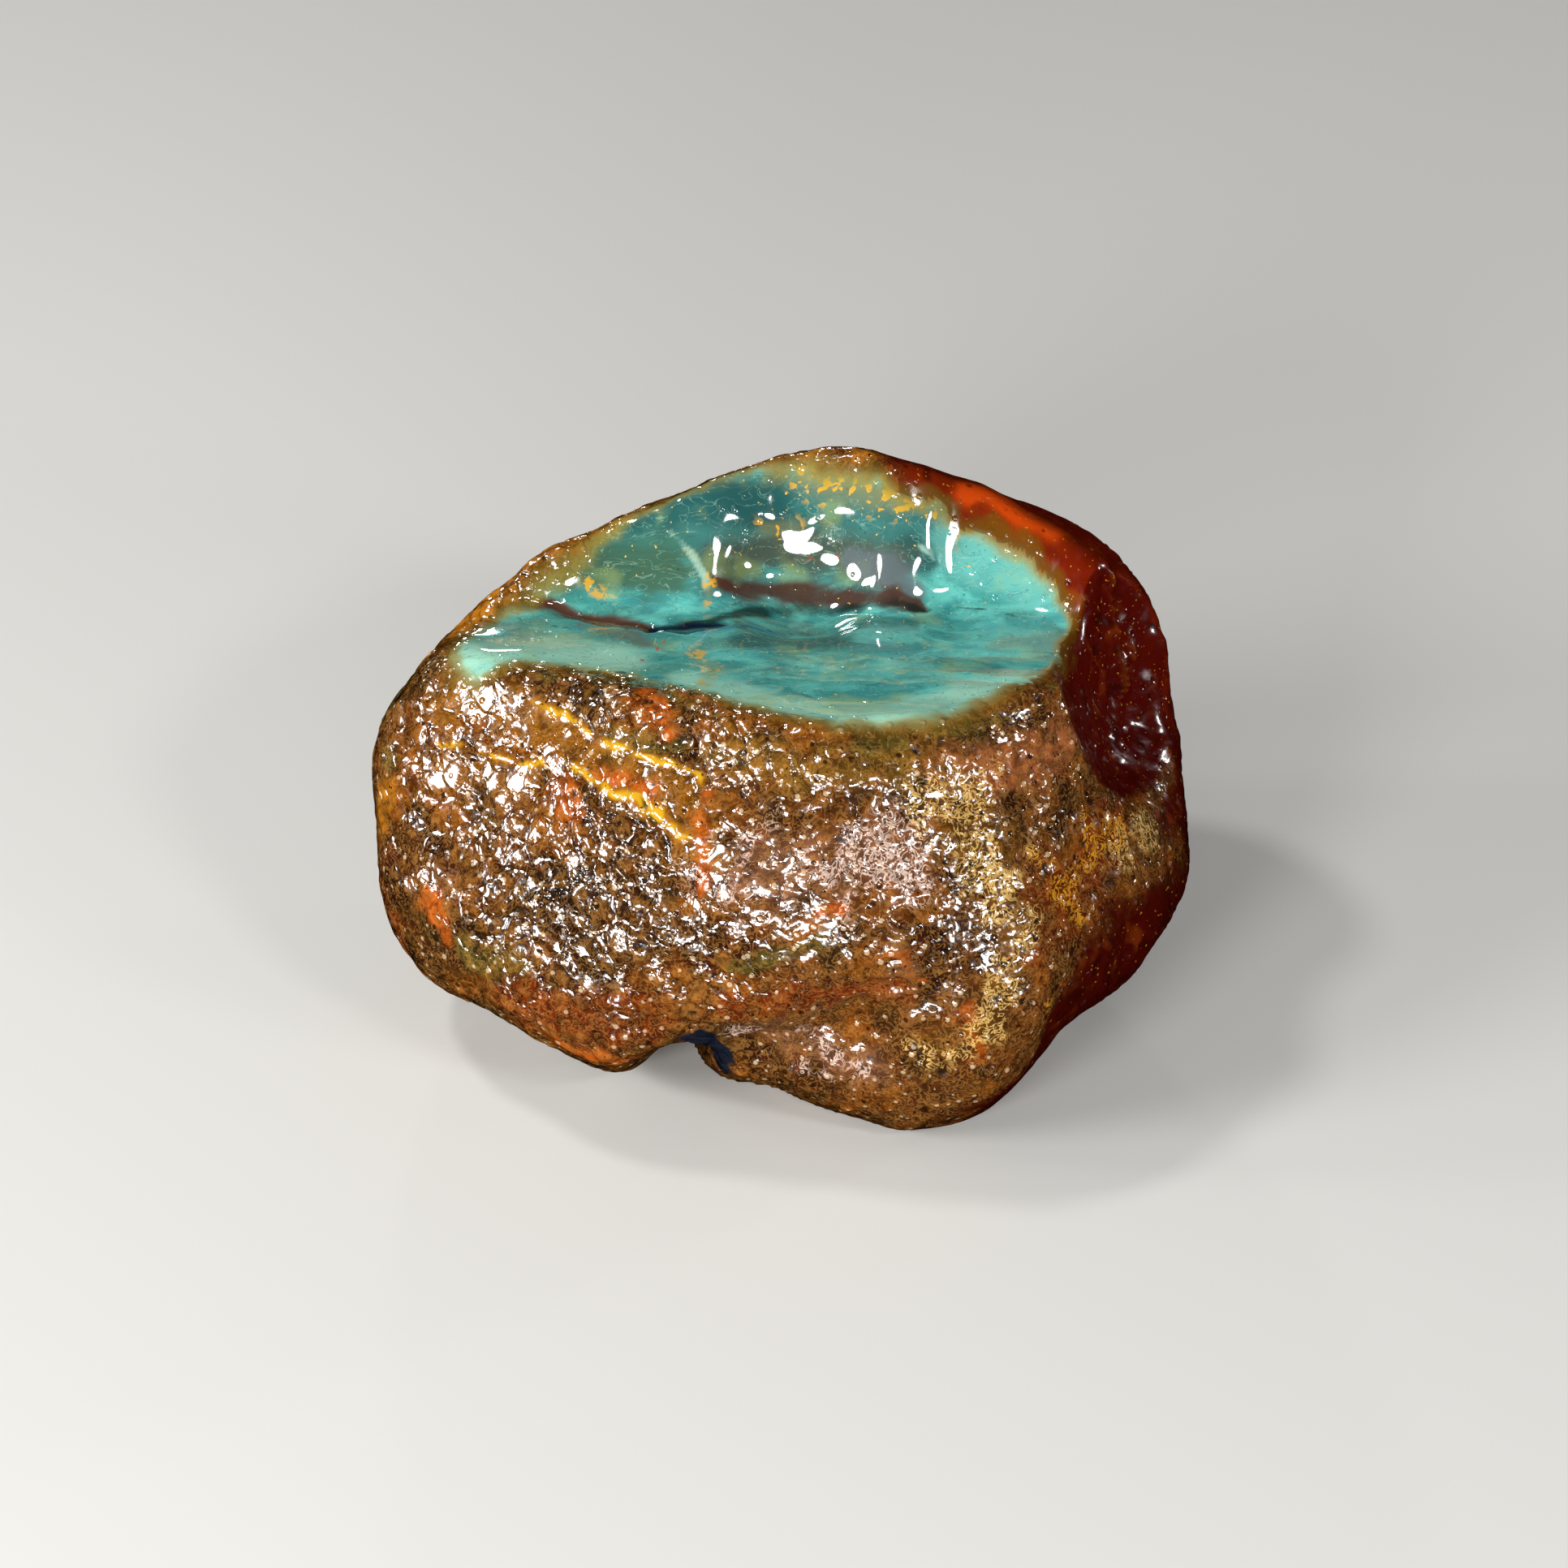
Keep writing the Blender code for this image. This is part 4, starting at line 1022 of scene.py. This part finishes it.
def addBump(tree, fields):
    # dew, grit and facets on the rind, and a few beads of dew on the smooth resin
    smooth = addNode(tree, "ShaderNodeMath", (fields["window"], fields["clear"]), operation="MAXIMUM")
    chance = addNode(tree, "ShaderNodeMath", (fields["rim"], amber["dewAtRim"], fields["luckX"]),
                     operation="MULTIPLY_ADD")
    few = addNode(tree, "ShaderNodeMapRange", (chance, *amber["dewOnSmooth"]))
    most = addNode(tree, "ShaderNodeMapRange", (fields["pebbled"], 0.0, 1.0, 1.0, amber["dewOnPebbles"]))
    amount = addNode(tree, "ShaderNodeMix", (smooth, most, few), data_type="FLOAT")
    amount = addNode(tree, "ShaderNodeMix", (fields["hollow"], amount, amber["holeDepth"]),
                     data_type="FLOAT")
    rise = addNode(tree, "ShaderNodeMath", (fields["dew"], amber["dewHeight"]), operation="MULTIPLY")
    gritty = addNode(tree, "ShaderNodeMapRange", (smooth, 0.0, 1.0, *amber["gritHeights"]))
    gritRise = addNode(tree, "ShaderNodeMath", (fields["grit"], gritty, fields["facet"]),
                       operation="MULTIPLY_ADD")
    bumps = addNode(tree, "ShaderNodeMath", (rise, amount, gritRise), operation="MULTIPLY_ADD")
    return addNode(tree, "ShaderNodeBump", {"Strength": 1.0, "Distance": mm, "Height": bumps})


def makeAmber(name, isClear):
    material = bpy.data.materials.new(name)
    material.use_nodes = True
    tree = material.node_tree
    tree.nodes.clear()

    fields = readZones(tree)
    coords = addNode(tree, "ShaderNodeTexCoord").outputs["Object"]
    place = addNode(tree, "ShaderNodeMapping", {"Vector": coords, "Scale": (1.0 / mm,) * 3})
    height = addNode(tree, "ShaderNodeSeparateXYZ", (place,)).outputs["Z"]
    # painted light above and painted shade below, by height
    fields["litAbove"] = addNode(tree, "ShaderNodeMapRange", (height, *amber["litHeights"]))
    fields["shadedBelow"] = addNode(tree, "ShaderNodeMapRange", (height, *amber["shadedHeights"]))
    addDew(tree, fields, place)
    addFacets(tree, fields)
    addCrust(tree, fields, place)
    addStreaks(tree, fields, place)

    rind = layColours(tree, rindLayers, fields)
    teal = layColours(tree, windowLayers, fields)
    red = layColours(tree, clearLayers, fields)
    colour = addNode(tree, "ShaderNodeMix", (fields["window"], rind, teal), data_type="RGBA")
    colour = addNode(tree, "ShaderNodeMix", (fields["clear"], colour, red), data_type="RGBA")
    rough = addNode(tree, "ShaderNodeMapRange", (
        fields["window"], 0.0, 1.0, amber["rindRoughness"], amber["windowRoughness"],
    ))
    rough = addNode(tree, "ShaderNodeMath", (fields["pit"], amber["pitRoughness"], rough),
                    operation="MULTIPLY_ADD")
    bump = addBump(tree, fields)
    resin = addNode(tree, "ShaderNodeBsdfPrincipled", {
        "Base Color": colour, "Roughness": rough, "IOR": amber["ior"], "Normal": bump,
        "Coat Weight": amber["coat"], "Coat Roughness": amber["coatRoughness"], "Coat Normal": bump,
    })
    ends = {"Surface": resin}
    if isClear:
        resin.inputs["Transmission Weight"].default_value = amber["clearTransmission"]
        resin.inputs["Coat Weight"].default_value = 0.0
        ends["Volume"] = addNode(tree, "ShaderNodeVolumeAbsorption", {
            "Color": amber["absorptionColour"], "Density": amber["absorptionDensity"],
        })
    addNode(tree, "ShaderNodeOutputMaterial", ends)
    print("material:", name)
    return material


def makeNugget():
    net, chipCut = makeStoneMesh()
    low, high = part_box("amber_nugget")
    places = np.array([vert.co for vert in net.verts])
    middle = (places.min(axis=0) + places.max(axis=0)) / 2.0
    places[:, 0] += (low.x + high.x) / 2.0 / mm - middle[0]
    places[:, 1] += (low.y + high.y) / 2.0 / mm - middle[1]
    for vert, place in zip(net.verts, places):
        vert.co = place * mm
    mesh = bpy.data.meshes.new("amber nugget base")
    net.to_mesh(mesh)
    net.free()
    for name, amounts in stainZones(places, chipCut).items():
        mesh.attributes.new(name, "FLOAT", "POINT").data.foreach_set("value", amounts.astype(np.float32))
    base = bpy.data.objects.new("amber nugget base", mesh)
    bpy.context.scene.collection.objects.link(base)

    tree = makeReliefTree()
    relief = base.modifiers.new("relief", "NODES")
    relief.node_group = tree
    settings = dict(reliefSizes)
    settings["Rind Material"] = makeAmber("raw amber, weathered rind and broken window", False)
    settings["Clear Material"] = makeAmber("raw amber, clear deep red resin", True)
    for item in tree.interface.items_tree:
        if item.in_out == "INPUT" and item.name in settings:
            relief[item.identifier] = settings[item.name]
    view = bpy.context.evaluated_depsgraph_get()
    worked = base.evaluated_get(view)
    finished = bpy.data.meshes.new_from_object(worked, preserve_all_data_layers=True, depsgraph=view)
    finished.name = "amber nugget"
    finished.shade_smooth()
    piece = bpy.data.objects.new("amber_nugget_resin", finished)
    bpy.context.scene.collection.objects.link(piece)
    bpy.data.objects.remove(base)
    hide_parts("amber_nugget")
    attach(piece, "root")
    print("stone:", len(finished.polygons), "quads")


makeNugget()

studio = {
    "aim": (0.0, -0.0018, 0.020),
    "distance": 0.347,
    "elevation": 35.0,
    "lens": 100.0,
    "sensorWidth": 36.0,
    "nearest": 0.01,
    "floorReach": 3.0,
    "floorColour": "#d6d4cf",
    "floorRoughness": 0.9,
    "floorGloss": 0.1,
    "worldColour": "#d9dce0",
    "worldStrength": 0.22,
    # area lights as (azimuth and height in degrees seen from the stone, distance, width and height in
    # metres, watts), where azimuth 0 is the camera's side
    "frontAzimuth": -90.0,  # the front faces -Y
    "lights": {
        "softbox": (-66.0, 22.0, 0.50, (0.19, 0.13), 1.45),
        "end": (-90.0, 21.0, 0.50, (0.08, 0.07), 0.35),
        "side": (-28.0, 20.0, 0.50, (0.15, 0.10), 1.2),
        "strip": (-2.0, 9.0, 0.50, (0.28, 0.09), 1.15),
        "front": (38.0, 37.0, 0.50, (0.09, 0.06), 0.45),
        "right": (56.0, 18.0, 0.50, (0.09, 0.06), 0.40),
        "far": (112.0, 9.0, 0.50, (0.06, 0.04), 0.25),
        "leftRim": (-108.0, 58.0, 0.50, (0.07, 0.06), 0.6),
        "backRim": (-172.0, 19.0, 0.60, (0.05, 0.03), 0.25),
    },
}


def makeStudio():
    floorMesh = bpy.data.meshes.new("floor")
    side = studio["floorReach"]
    corners = [(-side, -side, 0), (side, -side, 0), (side, side, 0), (-side, side, 0)]
    floorMesh.from_pydata(corners, [], [(0, 1, 2, 3)])
    floor = bpy.data.objects.new("floor", floorMesh)
    bpy.context.scene.collection.objects.link(floor)
    paper = bpy.data.materials.new("matt studio paper")
    paper.use_nodes = True
    sheet = paper.node_tree.nodes["Principled BSDF"]
    sheet.inputs["Base Color"].default_value = linearColour(studio["floorColour"])
    sheet.inputs["Roughness"].default_value = studio["floorRoughness"]
    sheet.inputs["Specular IOR Level"].default_value = studio["floorGloss"]
    floorMesh.materials.append(paper)
    floor.visible_glossy = False  # the stone's gloss mirrors the lamps, not the paper

    world = bpy.data.worlds.new("studio")
    world.use_nodes = True
    room = world.node_tree.nodes["Background"]
    room.inputs["Color"].default_value = linearColour(studio["worldColour"])
    room.inputs["Strength"].default_value = studio["worldStrength"]
    bpy.context.scene.world = world
    world.cycles_visibility.glossy = False  # nor the room
    bpy.context.scene.view_settings.view_transform = "Standard"

    aim = Vector(studio["aim"])
    for name, (azimuth, lift, distance, size, watts) in studio["lights"].items():
        lamp = bpy.data.lights.new(name, "AREA")
        lamp.shape = "ELLIPSE"
        lamp.size, lamp.size_y = size
        lamp.energy = watts
        holder = bpy.data.objects.new(name, lamp)
        holder.location = aim + Vector(towards(studio["frontAzimuth"] + azimuth, lift)) * distance
        holder.rotation_euler = (aim - holder.location).to_track_quat("-Z", "Y").to_euler()
        bpy.context.scene.collection.objects.link(holder)

    camera = bpy.data.cameras.new("camera")
    camera.lens = studio["lens"]
    camera.sensor_width = studio["sensorWidth"]
    camera.clip_start = studio["nearest"]
    lift = math.radians(studio["elevation"])
    eye = bpy.data.objects.new("camera", camera)
    eye.location = aim + studio["distance"] * Vector((0.0, -math.cos(lift), math.sin(lift)))
    eye.rotation_euler = (aim - eye.location).to_track_quat("-Z", "Y").to_euler()
    bpy.context.scene.collection.objects.link(eye)
    bpy.context.scene.camera = eye


makeStudio()
print("studio: floor, lights and camera are in place")
